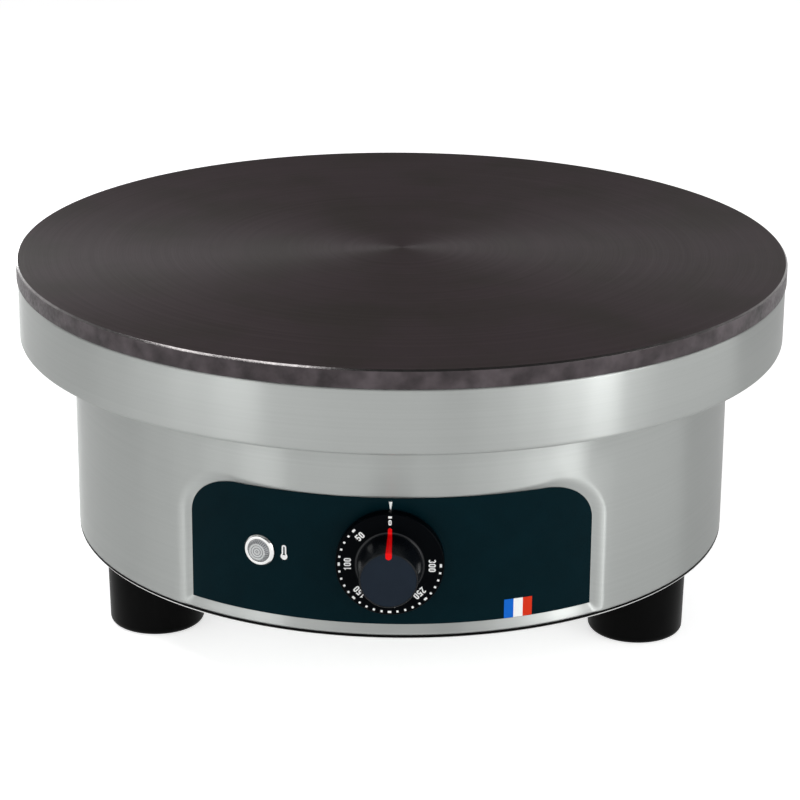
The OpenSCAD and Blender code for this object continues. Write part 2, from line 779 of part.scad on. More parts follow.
// Rim of the recess where it meets radius r, with its sloping borders moved out by grow
function border(slope, out, grow) = out * slope + grow * sqrt(1 + slope * slope);
function recess_rim(r, grow) = rim(r,
    recess_corner + border(border_slope, r - recess_r, grow),
    recess_corner + border(flank_slope, r - recess_r, grow),
    recess_z - border(sill_slope, r - recess_r, grow));

// Solid between an inner and an outer rim
module between_rims(inner, outer) {
    count = len(inner);
    n = count / 2;
    strips = [for (i = [0 : n - 2]) each [
        [n + i, n + i + 1, i + 1, i],
        [count + n + i + 1, count + n + i, count + i, count + i + 1],
        [i + 1, count + i, i], [count + i + 1, count + i, i + 1],
        [count + n + i + 1, n + i + 1, n + i], [count + n + i, count + n + i + 1, n + i]
    ]];
    ends = [[count, count + n, n, 0], [2 * n - 1, count + 2 * n - 1, count + n - 1, n - 1]];
    polyhedron(concat(inner, outer), concat(strips, ends), convexity = 4);
}

// Cutter for the recess. With grow = 0 it is the hollow seen from outside; with grow = the
// sheet's thickness it is that hollow and the sheet round it.
module recess_form(grow) {
    between_rims(recess_rim(recess_r - grow, grow), recess_rim(body_r + recess_over, grow));
}

// Solid of revolution inside a channel section
module channel_solid(r, z0, z1, low_bend, high_bend) {
    rotate_extrude() polygon(concat(
        [[0, z0]], arc([r - low_bend, z0 + low_bend], low_bend, -90, 0),
        arc([r - high_bend, z1 - high_bend], high_bend, 0, 90), [[0, z1]]
    ));
}

// Lower body: one sheet with two turned-in flanges and the recess pressed into its front
module body_shell() {
    color(STEEL) difference() {
        channel_solid(body_r, base_top, body_top, body_bend, body_bend);
        difference() {
            channel_solid(body_r - body_t, base_top + body_t, body_top - body_t,
                body_bend - body_t, body_bend - body_t);
            recess_form(body_t);
        }
        recess_form(0);
        translate([0, 0, base_top - skin]) cylinder(r = flange_r, h = body_h + 2 * skin);
        casing_holes(base_top, body_t);
        casing_holes(body_top - body_t, body_t);
        facing(180) translate([0, 0, gland_z]) rod(gland_thread_r + hole_gap, flange_r, body_r + 1);
        front_holes();
    }
}

// Holes for the spindle, the thermostat's screws and the lamp through the recess floor
module front_holes() {
    translate([0, 0, dial_z]) facing(0) {
        rod(spindle_r + spindle_hole_gap, flange_r, body_r);
        for (side = [-1, 1]) translate([0, side * thermostat_screw_span / 2, 0])
            rod(small_r + hole_gap, flange_r, body_r);
    }
    translate([0, 0, lamp_z]) facing(lamp_angle) rod(barrel_r + hole_gap, flange_r, body_r + 1);
}

// Screws that join the body, the band and the shield
module casing_screws() {
    color(BRIGHT_STEEL) round_ring(casing_screw_angles, casing_ring_r)
        translate([0, 0, shield_top]) mirror([0, 0, 1])
            pan_screw(casing_r, shield_t + band_t + body_t + casing_nut_h + thread_end,
                casing_head_h);
}

// Their nuts under the body's flange
module casing_nuts() {
    color(BRIGHT_STEEL) round_ring(casing_screw_angles, casing_ring_r)
        translate([0, 0, body_top - body_t - casing_nut_h])
            hex_nut(casing_af, casing_nut_h, casing_r);
}

// Black control panel lying on the recess floor
module control_panel() {
    inset = recess_corner - panel_gap;
    color(PANEL_BLACK) difference() {
        between_rims(rim(recess_r + panel_film, inset, inset, recess_z + panel_gap),
            rim(panel_r, inset, inset, recess_z + panel_gap));
        front_holes();
    }
}

// Spindle with its flat, grown by the clearance of the hole round it
module spindle_form(grow, from, to) {
    difference() {
        rod(spindle_r + grow, from, to);
        translate([dial_face - skirt_h / 2, -reach / 2, spindle_r - spindle_flat + grow])
            cube([reach, reach, reach]);
    }
}

// Dial and grip in one hollow moulding
module dial_knob() {
    grip_shoulder = grip_end_r + (grip_foot_r - grip_end_r) * grip_fillet / grip_h;
    color(BLACK) translate([0, 0, dial_z]) facing(0) difference() {
        turned(concat(
            [[0, skirt_back], [skirt_r, skirt_back]],
            arc([skirt_r - skirt_edge, dial_face - skirt_edge], skirt_edge, 0, 90),
            arc([grip_foot_r + grip_fillet, dial_face + grip_fillet], grip_fillet, 270, 180),
            arc([grip_end_r - grip_edge, grip_end - grip_edge], grip_edge, 0, 90),
            [[0, grip_end]]
        ));
        turned([[hub_r, skirt_back - skin], [skirt_r - knob_wall, skirt_back - skin],
            [skirt_r - knob_wall, dial_face - knob_wall], [grip_foot_r - knob_wall, dial_face - knob_wall],
            [grip_end_r - knob_wall, grip_end - cap_t - knob_wall],
            [hub_r, grip_end - cap_t - knob_wall]]);
        spindle_form(press_gap, skirt_back - skin, spindle_tip + spindle_end_gap);
        rod(cap_r + press_gap, grip_end - cap_t, grip_end + skin);
        pointer_form();
    }
}

// Disc let into the end of the grip
module knob_cap() {
    color(CAP_GREY) translate([0, 0, dial_z]) facing(0) difference() {
        rod(cap_r, grip_end - cap_t, grip_end);
        pointer_form();
    }
}

// Pointer: a strip over the dial, up the grip and onto the cap, tapering outwards
module pointer_form() {
    intersection() {
        translate([0, reach / 2, 0]) rotate([90, 0, 0]) linear_extrude(reach) polygon([
            [grip_end + pointer_proud, pointer_inner_r],
            [grip_end + pointer_proud, grip_end_r - grip_edge],
            [grip_end - grip_edge, grip_end_r + pointer_proud],
            [dial_face + grip_fillet, grip_foot_r + pointer_proud],
            [dial_face + pointer_proud, grip_foot_r + grip_fillet],
            [dial_face + pointer_proud, pointer_outer_r],
            [dial_face - pointer_deep, pointer_outer_r],
            [dial_face - pointer_deep, grip_foot_r - pointer_deep / 2],
            [grip_end - grip_edge, grip_end_r - pointer_deep],
            [grip_end - pointer_deep, grip_end_r - grip_edge],
            [grip_end - pointer_deep, pointer_inner_r]
        ]);
        rotate([90, 0, 90]) linear_extrude(grip_end + reach) polygon([
            [-pointer_inner_w / 2, pointer_inner_r], [pointer_inner_w / 2, pointer_inner_r],
            [pointer_outer_w / 2, pointer_outer_r], [-pointer_outer_w / 2, pointer_outer_r]
        ]);
    }
}

// Pointer strip in its colour
module knob_pointer() {
    color(POINTER_RED) translate([0, 0, dial_z]) facing(0) pointer_form();
}

// Spindle that the knob turns in the thermostat
module thermostat_spindle() {
    color(BRIGHT_STEEL) translate([0, 0, dial_z]) facing(0)
        spindle_form(0, thermostat_face - spindle_hold, spindle_tip);
}

// Thermostat with its neck, its spindle bore and its terminals
module thermostat_body() {
    color(CERAMIC) translate([0, 0, dial_z]) facing(0) {
        difference() {
            union() {
                translate([thermostat_back, 0, 0]) rotate([90, 0, 90]) linear_extrude(thermostat_l)
                    round_rectangle(thermostat_w, thermostat_h, thermostat_corner);
                rod(neck_r, thermostat_face - skin, neck_end);
            }
            rod(spindle_r + spindle_gap, thermostat_face - spindle_hold - spindle_end_gap,
                neck_end + skin);
            for (side = [-1, 1]) translate([0, side * thermostat_screw_span / 2, 0])
                rod(small_r + thread_gap, thermostat_face - thermostat_screw_l - hole_end,
                    thermostat_face + skin);
        }
        for (side = [-1, 1]) translate([thermostat_back - tab_l, side * tab_spread - tab_w / 2, 0])
            cube([tab_l + skin, tab_w, tab_t]);
    }
}

// Two screws through the recess floor, hidden under the dial
module thermostat_screws() {
    color(BRIGHT_STEEL) translate([0, 0, dial_z]) facing(0) for (side = [-1, 1])
        translate([panel_r + seat_gap, side * thermostat_screw_span / 2, 0]) rotate([0, -90, 0])
            pan_screw(small_r, panel_r + seat_gap - thermostat_face + thermostat_screw_l,
                flat_head_h);
}

// Bezel of the pilot lamp with its threaded barrel
module pilot_lamp_bezel() {
    edge = bezel_h * 0.6;
    color(BRIGHT_STEEL) translate([0, 0, lamp_z]) facing(lamp_angle) turned(concat(
        [[lens_r + lens_gap, barrel_back], [barrel_r, barrel_back], [barrel_r, panel_r],
            [bezel_r, panel_r]],
        arc([bezel_r - edge, panel_r + bezel_h - edge], edge, 0, 90),
        [[lens_r + lens_gap + lens_sink, panel_r + bezel_h],
            [lens_r + lens_gap, panel_r + bezel_h - lens_sink]]
    ));
}

// Clear lens with a stepped front
module pilot_lamp_lens() {
    front = panel_r + bezel_h - lens_sink;
    back = barrel_back + lens_gap;
    color(CLEAR) translate([0, 0, lamp_z]) facing(lamp_angle) turned([
        [0, back], [lens_r, back], [lens_r, front - 2 * lens_step],
        [lens_r * 0.75, front - lens_step], [lens_r * 0.7, front - 2 * lens_step],
        [lens_r * 0.45, front - lens_step / 2], [lens_r * 0.4, front - lens_step], [0, front]
    ]);
}

// Lamp holder with two terminals
module pilot_lamp_holder() {
    color(BLACK) translate([0, 0, lamp_z]) facing(lamp_angle) {
        rod(holder_r, holder_back, barrel_back);
        for (side = [-1, 1])
            translate([holder_back - tab_l, side * lamp_tab_y - tab_t / 2, -tab_w / 4])
                cube([tab_l + skin, tab_t, tab_w / 2]);
    }
}

// Round nut that pulls the lamp against the recess floor
module pilot_lamp_nut() {
    color(BRIGHT_STEEL) translate([0, 0, lamp_z]) facing(lamp_angle) difference() {
        rod(lamp_nut_r, lamp_nut_face - lamp_nut_h, lamp_nut_face);
        rod(barrel_r + thread_gap, lamp_nut_face - lamp_nut_h - skin, lamp_nut_face + skin);
    }
}

// Base plate with three groups of ventilation slots
module base_plate() {
    color(STEEL) difference() {
        translate([0, 0, foot_h]) cylinder(r = base_r, h = base_t);
        casing_holes(foot_h, base_t);
        round_ring(foot_angles, foot_ring_r) translate([0, 0, foot_h - skin])
            cylinder(r = foot_screw_r + hole_gap, h = base_t + 2 * skin);
        for (group = foot_angles) for (k = [-2 : 2]) facing(group + k * vent_step)
            translate([vent_r(group), 0, foot_h - skin])
                linear_extrude(base_t + 2 * skin) round_rectangle(vent_l, vent_w, vent_w / 2 - skin);
        base_fixing_holes();
    }
}

// Screws of the base, from below
module base_screws() {
    color(BRIGHT_STEEL) round_ring(casing_screw_angles, casing_ring_r) translate([0, 0, foot_h])
        pan_screw(casing_r, base_t + body_t + casing_nut_h + thread_end, casing_head_h);
}

// Their nuts on the body's lower flange
module base_nuts() {
    color(BRIGHT_STEEL) round_ring(casing_screw_angles, casing_ring_r)
        translate([0, 0, base_top + body_t]) hex_nut(casing_af, casing_nut_h, casing_r);
}

// Foot: a slightly tapered moulding with a well for its screw
module foot(angle) {
    top_r = foot_d / 2;
    bottom_r = top_r - foot_taper;
    color(BLACK) facing(angle) translate([foot_ring_r, 0, 0]) rotate_extrude() polygon(concat(
        [[foot_screw_r + hole_gap, foot_well_h], [foot_well_r, foot_well_h], [foot_well_r, 0]],
        arc([bottom_r - foot_edge, foot_edge], foot_edge, -90, 0),
        [[top_r, foot_h - foot_top_edge], [top_r - foot_top_edge, foot_h],
            [foot_screw_r + hole_gap, foot_h]]
    ));
}

// Screws up through the feet
module foot_screws() {
    color(BRIGHT_STEEL) round_ring(foot_angles, foot_ring_r)
        translate([0, 0, foot_well_h - foot_washer_t])
            pan_screw(foot_screw_r, foot_washer_t + foot_crown_h + base_t + foot_nut_h + thread_end,
                foot_head_h);
}

// Washers in the feet's wells
module foot_washers() {
    color(STEEL) round_ring(foot_angles, foot_ring_r)
        translate([0, 0, foot_well_h - foot_washer_t]) difference() {
            cylinder(r = foot_washer_r, h = foot_washer_t);
            translate([0, 0, -skin]) cylinder(r = foot_screw_r + hole_gap, h = foot_washer_t + 2 * skin);
        }
}

// Nuts of the feet, on the base plate
module foot_nuts() {
    color(BRIGHT_STEEL) round_ring(foot_angles, foot_ring_r) translate([0, 0, base_top])
        hex_nut(foot_af, foot_nut_h, foot_screw_r);
}

// Holes in the base for the terminal block's screws and the earth stud
module base_fixing_holes() {
    for (side = [-1, 1]) translate([side * block_screw_x, block_y, foot_h - skin])
        cylinder(r = small_r + hole_gap, h = base_t + 2 * skin);
    translate([earth_x, earth_y, foot_h - skin])
        cylinder(r = small_r + hole_gap, h = base_t + 2 * skin);
}

// Three-way terminal block with an ear at each end
module terminal_block() {
    color(CERAMIC) difference() {
        translate([0, block_y, base_top]) union() {
            linear_extrude(block_ear_h)
                round_rectangle(block_w + 2 * block_ear_w, block_ear_l, block_corner);
            translate([-block_w / 2, -block_l / 2, 0]) cube([block_w, block_l, block_h]);
        }
        for (i = [-1 : 1]) translate([i * block_pitch, block_y, block_port_z]) {
            rotate([90, 0, 0]) cylinder(r = port_r, h = block_l + 2 * skin, center = true);
            for (y = [-1, 1]) translate([0, y * block_screw_y, 0])
                cylinder(r = small_r + thread_gap, h = block_h);
        }
        for (side = [-1, 1]) translate([side * block_screw_x, block_y, base_top - skin])
            cylinder(r = small_r + hole_gap, h = block_h);
    }
}

// Clamping screws of the terminals
module terminal_screws() {
    color(BRASS) for (i = [-1 : 1]) for (y = [-1, 1])
        translate([i * block_pitch, block_y + y * block_screw_y, base_top + block_h])
            mirror([0, 0, 1]) pan_screw(small_r,
                base_top + block_h - block_port_z - lead_d / 2 - seat_gap, small_head_h);
}

// Screws of the terminal block, from under the base, each with the nut that is pressed on it
module block_screws() {
    color(BRIGHT_STEEL) for (side = [-1, 1]) translate([side * block_screw_x, block_y, foot_h]) {
        pan_screw(small_r, base_t + block_ear_h + small_nut_h + thread_end, small_head_h);
        translate([0, 0, base_t + block_ear_h])
            cylinder(r = small_af / sqrt(3), h = small_nut_h, $fn = hex_sides);
    }
}

// Earth stud standing on the base, with its collar nut
module earth_stud() {
    color(BRASS) translate([earth_x, earth_y, foot_h]) {
        pan_screw(small_r, base_t + earth_h, small_head_h);
        translate([0, 0, base_t]) cylinder(r = earth_collar_r, h = small_nut_h, $fn = hex_sides);
    }
}

// Over-temperature limit switch under the shield
module limit_switch() {
    color(BLACK) translate([-limit_x, limit_y, shield_z - limit_h]) {
        cylinder(r = limit_r, h = limit_h);
        for (side = [-1, 1])
            translate([side * limit_tab_x - tab_w / 2, -limit_r - tab_l / 2, limit_tab_z])
                cube([tab_w, tab_l, tab_t]);
    }
}

// Cable gland: hexagon outside, thread through the wall
module cable_gland() {
    color(BLACK) translate([0, 0, gland_z]) facing(180) difference() {
        union() {
            translate([body_r, 0, 0]) rotate([0, 90, 0])
                cylinder(r = gland_af / sqrt(3), h = gland_hex_h, $fn = hex_sides);
            rod(gland_thread_r, gland_back, body_r + skin);
        }
        rod(cable_hole_r + gland_wall, gland_back - skin, body_r + gland_hex_h + skin);
    }
}

// Cap nut that closes on the cable
module gland_cap_nut() {
    start = body_r + gland_hex_h;
    color(BLACK) translate([0, 0, gland_z]) facing(180) turned(concat(
        [[cable_hole_r, start], [gland_cap_r, start]],
        arc([gland_cap_r - gland_cap_edge - gland_cap_taper, start + gland_cap_h - gland_cap_edge],
            gland_cap_edge, 0, 90),
        [[cable_hole_r, start + gland_cap_h]]
    ));
}

// Locknut of the gland, inside the body
module gland_locknut() {
    color(BLACK) translate([0, 0, gland_z]) facing(180)
        translate([gland_nut_face - gland_nut_h, 0, 0]) rotate([0, 90, 0])
            hex_nut(gland_af, gland_nut_h, gland_thread_r);
}

// Where the leads end, and the points that keep their ends straight
function port(i) = [i * block_pitch, block_y - block_screw_y + small_r, block_port_z];
function port_run(i) = [port(i), port(i) - [0, block_l / 3, 0], port(i) - [0, 2 * block_l / 3, 0]];
function thermostat_tab(side) =
    faced(0, [thermostat_back - tab_l - lead_gap, side * tab_spread, dial_z + tab_t / 2]);
function thermostat_tab_top(side) =
    faced(0, [thermostat_back - tab_l / 2, side * tab_spread, dial_z + tab_t + lead_gap]);
function lamp_tab(side, inwards = 0) =
    faced(lamp_angle, [holder_back - tab_l - lead_gap - inwards, side * lamp_tab_y, lamp_z]);
function bar_tip(side) =
    [side * tail_offset, tail_r(ring_radii[0]) - bar_end - lead_gap, tail_z - bar_t / 2];
function bar_edge(side) = [side * (tail_offset + bar_w / 2 + lead_gap),
    (tail_r(ring_radii[0]) + tail_r(ring_radii[1])) / 2, tail_z - bar_t / 2];
function limit_tab(side) = [-limit_x + side * limit_tab_x,
    limit_y - limit_r - tab_l / 2 - lead_gap, shield_z - limit_h + limit_tab_z + tab_t / 2];

// Live leads: block to thermostat, thermostat to limit switch, limit switch to bus bar, and
// thermostat to lamp
module live_leads() {
    color(LIVE_BROWN) {
        lead(concat(port_run(-1), [[-22, 40, base_top + 14], [-24, -40, base_top + 20],
            thermostat_tab(-1) + [-3, 24, -6], thermostat_tab(-1) + [0, 8, 0],
            thermostat_tab(-1)]), lead_d);
        lead([thermostat_tab(1), thermostat_tab(1) + [0, 8, 0], thermostat_tab(1) + [-2, 24, 8],
            [-16, -60, dial_z + 26], [-48, -34, dial_z + 44], limit_tab(1) - [0, 10, 0],
            limit_tab(1) - [0, 4, 0], limit_tab(1)], lead_d);
        lead([limit_tab(-1), limit_tab(-1) - [0, 8, 0], limit_tab(-1) + [-12, -14, -8],
            [-84, 0, body_top - 40], [-56, 30, body_top - 42], bar_tip(-1) + [-6, -22, -8],
            bar_tip(-1) - [0, 8, 0], bar_tip(-1)], lead_d);
        lead([lamp_tab(-1), lamp_tab(-1, 7), lamp_tab(-1, 16) + [8, 0, 8],
            thermostat_tab(-1) + [0, 5, 16], thermostat_tab_top(1) + [-8, 2, 14],
            thermostat_tab_top(1) + [0, 0, 6], thermostat_tab_top(1)], lamp_lead_d);
    }
}

// Neutral leads: block to bus bar, and lamp to bus bar
module neutral_leads() {
    color(NEUTRAL_BLUE) {
        lead(concat(port_run(1), [[22, 60, base_top + 14], [34, 34, dial_z],
            [30, 14, tail_z - 20], bar_tip(1) + [2, -20, -4], bar_tip(1) - [0, 8, 0],
            bar_tip(1)]), lead_d);
        lead([lamp_tab(1), lamp_tab(1, 7), lamp_tab(1, 24) + [6, 0, -4], [10, -40, dial_z - 6],
            [46, 24, dial_z + 16], [48, 64, tail_z - 14], bar_edge(1) + [12, 1, -3],
            bar_edge(1) + [6, 0, 0], bar_edge(1)], lamp_lead_d);
    }
}

// Earth lead from the block to its stud
module earth_lead() {
    stud = [earth_x, earth_y - small_r - lead_d / 2 - lead_gap, base_top + block_ear_h * 2];
    color(EARTH_GREEN) lead(concat(port_run(0), [[10, 60, base_top + 8],
        [34, 56, base_top + 8], stud - [0, 14, 0], stud - [0, 6, 0], stud]), lead_d);
}

griddle_plate();
ring_element(ring_radii[0]);  // element_inner
ring_element(ring_radii[1]);  // element_middle
ring_element(ring_radii[2]);  // element_outer
clamp_bars();
plate_studs();
clamp_screws();
clamp_nuts();
tie_nuts();
insulation_blanket();
heat_shield();
tail_bushes();
bus_bars();
tail_nuts();
sensor_bulb();
bulb_clip();
bulb_clip_screws();
capillary();
upper_band();
body_shell();
casing_screws();
casing_nuts();
control_panel();
dial_knob();
knob_cap();
knob_pointer();
thermostat_spindle();
thermostat_body();
thermostat_screws();
pilot_lamp_bezel();
pilot_lamp_lens();
pilot_lamp_holder();
pilot_lamp_nut();
base_plate();
base_screws();
base_nuts();
foot(foot_angles[0]);  // foot_front_left
foot(foot_angles[1]);  // foot_front_right
foot(foot_angles[2]);  // foot_rear
foot_screws();
foot_washers();
foot_nuts();
terminal_block();
terminal_screws();
block_screws();
earth_stud();
limit_switch();
cable_gland();
gland_cap_nut();
gland_locknut();
live_leads();
neutral_leads();
earth_lead();
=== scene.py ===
"""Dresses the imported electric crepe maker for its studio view.

The turned cast-iron plate, the brushed steel casing with its pressed recess, the dial, the pilot
lamp, the feet and the cable gland are modelled here around the frame. What is inside the casing
keeps its solids and gets a finish of its own. Lengths are metres, +Z is up and the panel faces -Y.
Angles on the casing are degrees from the front, positive to the right.
"""

import logging
import math
from dataclasses import dataclass, replace
from enum import Enum
from typing import Callable, Iterable, Optional, Sequence, Union

import bmesh
import bpy
from mathutils import Matrix, Vector


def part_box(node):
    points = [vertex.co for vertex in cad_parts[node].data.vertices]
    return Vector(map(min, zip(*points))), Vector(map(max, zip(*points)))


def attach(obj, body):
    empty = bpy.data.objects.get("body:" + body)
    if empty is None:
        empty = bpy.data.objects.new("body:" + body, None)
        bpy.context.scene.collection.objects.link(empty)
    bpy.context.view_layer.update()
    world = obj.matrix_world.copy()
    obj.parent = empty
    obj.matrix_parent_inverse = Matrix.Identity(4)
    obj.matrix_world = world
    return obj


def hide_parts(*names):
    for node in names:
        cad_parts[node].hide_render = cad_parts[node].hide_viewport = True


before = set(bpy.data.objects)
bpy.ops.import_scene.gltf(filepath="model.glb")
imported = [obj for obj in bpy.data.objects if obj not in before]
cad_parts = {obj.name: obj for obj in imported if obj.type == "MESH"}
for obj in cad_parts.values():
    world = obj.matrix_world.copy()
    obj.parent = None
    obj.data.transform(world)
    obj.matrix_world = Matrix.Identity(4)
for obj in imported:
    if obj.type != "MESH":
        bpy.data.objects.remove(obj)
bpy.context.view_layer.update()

log = logging.getLogger("crepe_maker")

MM = 0.001
# Points nearer to each other, or to an axis, than this are one.
TOUCHING = 1e-7
# At its corners a stroke's half width is divided by no less than this.
MITRE_LIMIT = 0.6
# The grey values of a noise texture lie mostly between these two.
NOISE_DARK = 0.3
NOISE_LIGHT = 0.7
# Turns a brushed surface's streaks from the tangent to across it.
QUARTER_TURN = 0.25
# A rounding takes no more than this part of an edge beside it.
ROUNDED_PART = 0.49
# Direction of the casing's rear.
REAR = 180.0

Point = tuple[float, float]
Corner = tuple[float, float, float]
Colour = tuple[float, float, float]
Ripple = Callable[[float, float, float], float]
Mesh = bpy.types.Mesh
Socket = bpy.types.NodeSocket
Value = Union[float, Socket]
Row = Sequence[bmesh.types.BMVert]
Shade = Union[Colour, Socket]


class Body(Enum):
    """Bodies of the frame that a piece can ride on."""

    CASING = "casing"
    DIAL = "thermostat_dial"


class Slot(Enum):
    """Material slots of the record, one passed with each new piece."""

    CAST_IRON = "cast_iron"
    STEEL = "brushed_steel"
    ZINC = "zinc_steel"
    BRASS = "brass"
    PANEL = "panel_film"
    KNOB = "knob_plastic"
    CAP = "cap_plastic"
    POINTER = "pointer_red"
    CHROME = "chrome"
    LENS = "lamp_lens"
    NYLON = "black_nylon"
    RUBBER = "foot_rubber"


class Pattern(Enum):
    """Fine structure of a surface, each made by one shader node group."""

    RINGS = "ring_lines"
    GRAIN = "moulded_grain"
    WOOL = "fibre_wool"


# ---------------------------------------------------------------------------------------------
# Shader building


class Bench:
    """Places and joins the nodes of one tree."""

    def __init__(self, tree: bpy.types.NodeTree) -> None:
        """Keeps the tree that the nodes go into."""
        self.tree = tree

    def add(self, kind: str, values: Optional[dict] = None, **settings: object) -> bpy.types.Node:
        """Adds a node.

        Args:
            kind: The node's type name.
            values: For each input, by name or number, a constant or the socket that feeds it.
            **settings: Properties of the node itself.

        Returns:
            The new node.
        """
        node = self.tree.nodes.new(kind)
        for key, value in settings.items():
            setattr(node, key, value)
        for key, value in (values or {}).items():
            if isinstance(value, Socket):
                self.tree.links.new(value, node.inputs[key])
            else:
                node.inputs[key].default_value = value
        return node

    def math(self, operation: str, first: Value, second: Value = 0.0) -> Socket:
        """Returns the result of a Math node on two values or sockets."""
        return self.add("ShaderNodeMath", {0: first, 1: second}, operation=operation).outputs[0]

    def span(self, value: Socket, low: float, high: float, start: float = 0.0, end: float = 1.0) -> Socket:
        """Maps a value from one span to another and holds it within the second.

        Args:
            value: What is mapped.
            low: The result where the value is start or less.
            high: The result where it is end or more.
            start: Where the span begins.
            end: Where it ends.

        Returns:
            The result.
        """
        node = self.add("ShaderNodeMapRange",
                        {"Value": value, "From Min": start, "From Max": end, "To Min": low, "To Max": high})
        return node.outputs["Result"]

    def noise(self, vector: Socket, scale: float = 1.0, detail: float = 2.0,
              distortion: float = 0.0) -> Socket:
        """Returns the grey value of a noise texture."""
        values = {"Vector": vector, "Scale": scale, "Detail": detail, "Distortion": distortion}
        return self.add("ShaderNodeTexNoise", values).outputs[0]

    def blend(self, factor: Socket, first: Shade, second: Shade) -> Socket:
        """Mixes two colours.

        Args:
            factor: Nought for the first colour and one for the second.
            first: A colour or its socket.
            second: Another.

        Returns:
            The mixed colour.
        """
        values = {0: factor}
        for key, colour in ((6, first), (7, second)):
            values[key] = colour if isinstance(colour, Socket) else (*colour, 1.0)
        return self.add("ShaderNodeMix", values, data_type="RGBA").outputs[2]

    def choose(self, switch: Socket, off: Value, on: Value) -> Socket:
        """Returns off where the switch is nought and on where it is one."""
        return self.add("ShaderNodeMix", {0: switch, 2: off, 3: on}).outputs[0]

    def place(self) -> Socket:
        """Returns the place on the object."""
        return self.add("ShaderNodeTexCoord").outputs["Object"]

    def steps(self, size: Socket) -> Socket:
        """Returns the place on the object, counted in steps of a size."""
        values = {0: self.place(), "Scale": self.math("DIVIDE", 1.0, size)}
        return self.add("ShaderNodeVectorMath", values, operation="SCALE").outputs[0]

    def feed(self, target: bpy.types.Node, **sources: Socket) -> None:
        """Joins sockets to the inputs of a node that they name, with _ for a space."""
        for label, socket in sources.items():
            self.tree.links.new(socket, target.inputs[label.replace("_", " ")])

    def polar(self) -> tuple[Socket, Socket, Socket]:
        """Works out a place's terms for lines that run round the plate's axis.

        Returns:
            x, y, and the sum of the height and the distance from the axis.
        """
        parts = self.add("ShaderNodeSeparateXYZ", {0: self.place()})
        flat = self.add("ShaderNodeCombineXYZ", {0: parts.outputs[0], 1: parts.outputs[1]})
        radius = self.add("ShaderNodeVectorMath", {0: flat.outputs[0]}, operation="LENGTH").outputs["Value"]
        return parts.outputs[0], parts.outputs[1], self.math("ADD", parts.outputs[2], radius)


def new_group(name: str, inputs: Sequence[str],
              outputs: Sequence[str]) -> tuple[Bench, dict[str, Socket], bpy.types.Node]:
    """Starts a shader node group with named values.

    Args:
        name: The group's name.
        inputs: Names of its inputs, all plain values.
        outputs: Names of its outputs, all plain values.

    Returns:
        A bench for its tree, its input sockets by name, and its output node.
    """
    tree = bpy.data.node_groups.new(name, "ShaderNodeTree")
    for way, labels in (("INPUT", inputs), ("OUTPUT", outputs)):
        for label in labels:
            tree.interface.new_socket(name=label, in_out=way, socket_type="NodeSocketFloat")
    bench = Bench(tree)
    start = bench.add("NodeGroupInput")
    end = bench.add("NodeGroupOutput")
    return bench, {label: start.outputs[label] for label in inputs}, end


def pattern_group(pattern: Pattern) -> tuple[Bench, dict[str, Socket], bpy.types.Node]:
    """Starts the node group of a pattern, whose outputs both vary about a half."""
    return new_group(pattern.value, ("Size", "Length"), ("Height", "Tone"))


def ring_lines() -> None:
    """Makes the group of fine lines that run round the plate's axis, on walls and flat faces."""
    bench, given, end = pattern_group(Pattern.RINGS)
    x, y, across = bench.polar()
    for label, stretch, detail in (("Height", 1.0, 3.0), ("Tone", 9.0, 2.0)):
        length = bench.math("MULTIPLY", given["Length"], stretch)
        size = bench.math("MULTIPLY", given["Size"], stretch)
        vector = bench.add("ShaderNodeCombineXYZ", {
            0: bench.math("DIVIDE", x, length), 1: bench.math("DIVIDE", y, length),
            2: bench.math("DIVIDE", across, size)})
        bench.feed(end, **{label: bench.noise(vector.outputs[0], detail=detail)})


def moulded_grain() -> None:
    """Makes the group of an even grain, as on castings and mouldings."""
    bench, given, end = pattern_group(Pattern.GRAIN)
    bench.feed(end, Height=bench.noise(bench.steps(given["Size"]), detail=4.0),
               Tone=bench.noise(bench.steps(given["Length"]), detail=4.0))


def fibre_wool() -> None:
    """Makes the group of a felted surface: crossed, bent threads, and soft patches in their tone."""
    bench, given, end = pattern_group(Pattern.WOOL)
    place = bench.steps(given["Size"])
    bench.feed(end, Height=bench.noise(place, scale=5.0, detail=6.0, distortion=2.5),
               Tone=bench.noise(place, scale=0.08))


def scuffs() -> None:
    """Makes the group of thin scattered scratches: one on the line, nought beside it."""
    line_width, patch_scale, patch_start, patch_end = 0.006, 0.6, 0.5, 0.7
    bench, given, end = new_group("scuffs", ("Size", "Amount"), ("Mask",))
    place = bench.steps(given["Size"])
    cloud = bench.noise(place, detail=1.0, distortion=1.2)
    ridge = bench.math("ABSOLUTE", bench.math("SUBTRACT", cloud, 0.5))
    thin = bench.span(ridge, 1.0, 0.0, 0.0, line_width)
    patch = bench.span(bench.noise(place, patch_scale), 0.0, 1.0, patch_start, patch_end)
    bench.feed(end, Mask=bench.math("MULTIPLY", bench.math("MULTIPLY", thin, patch), given["Amount"]))


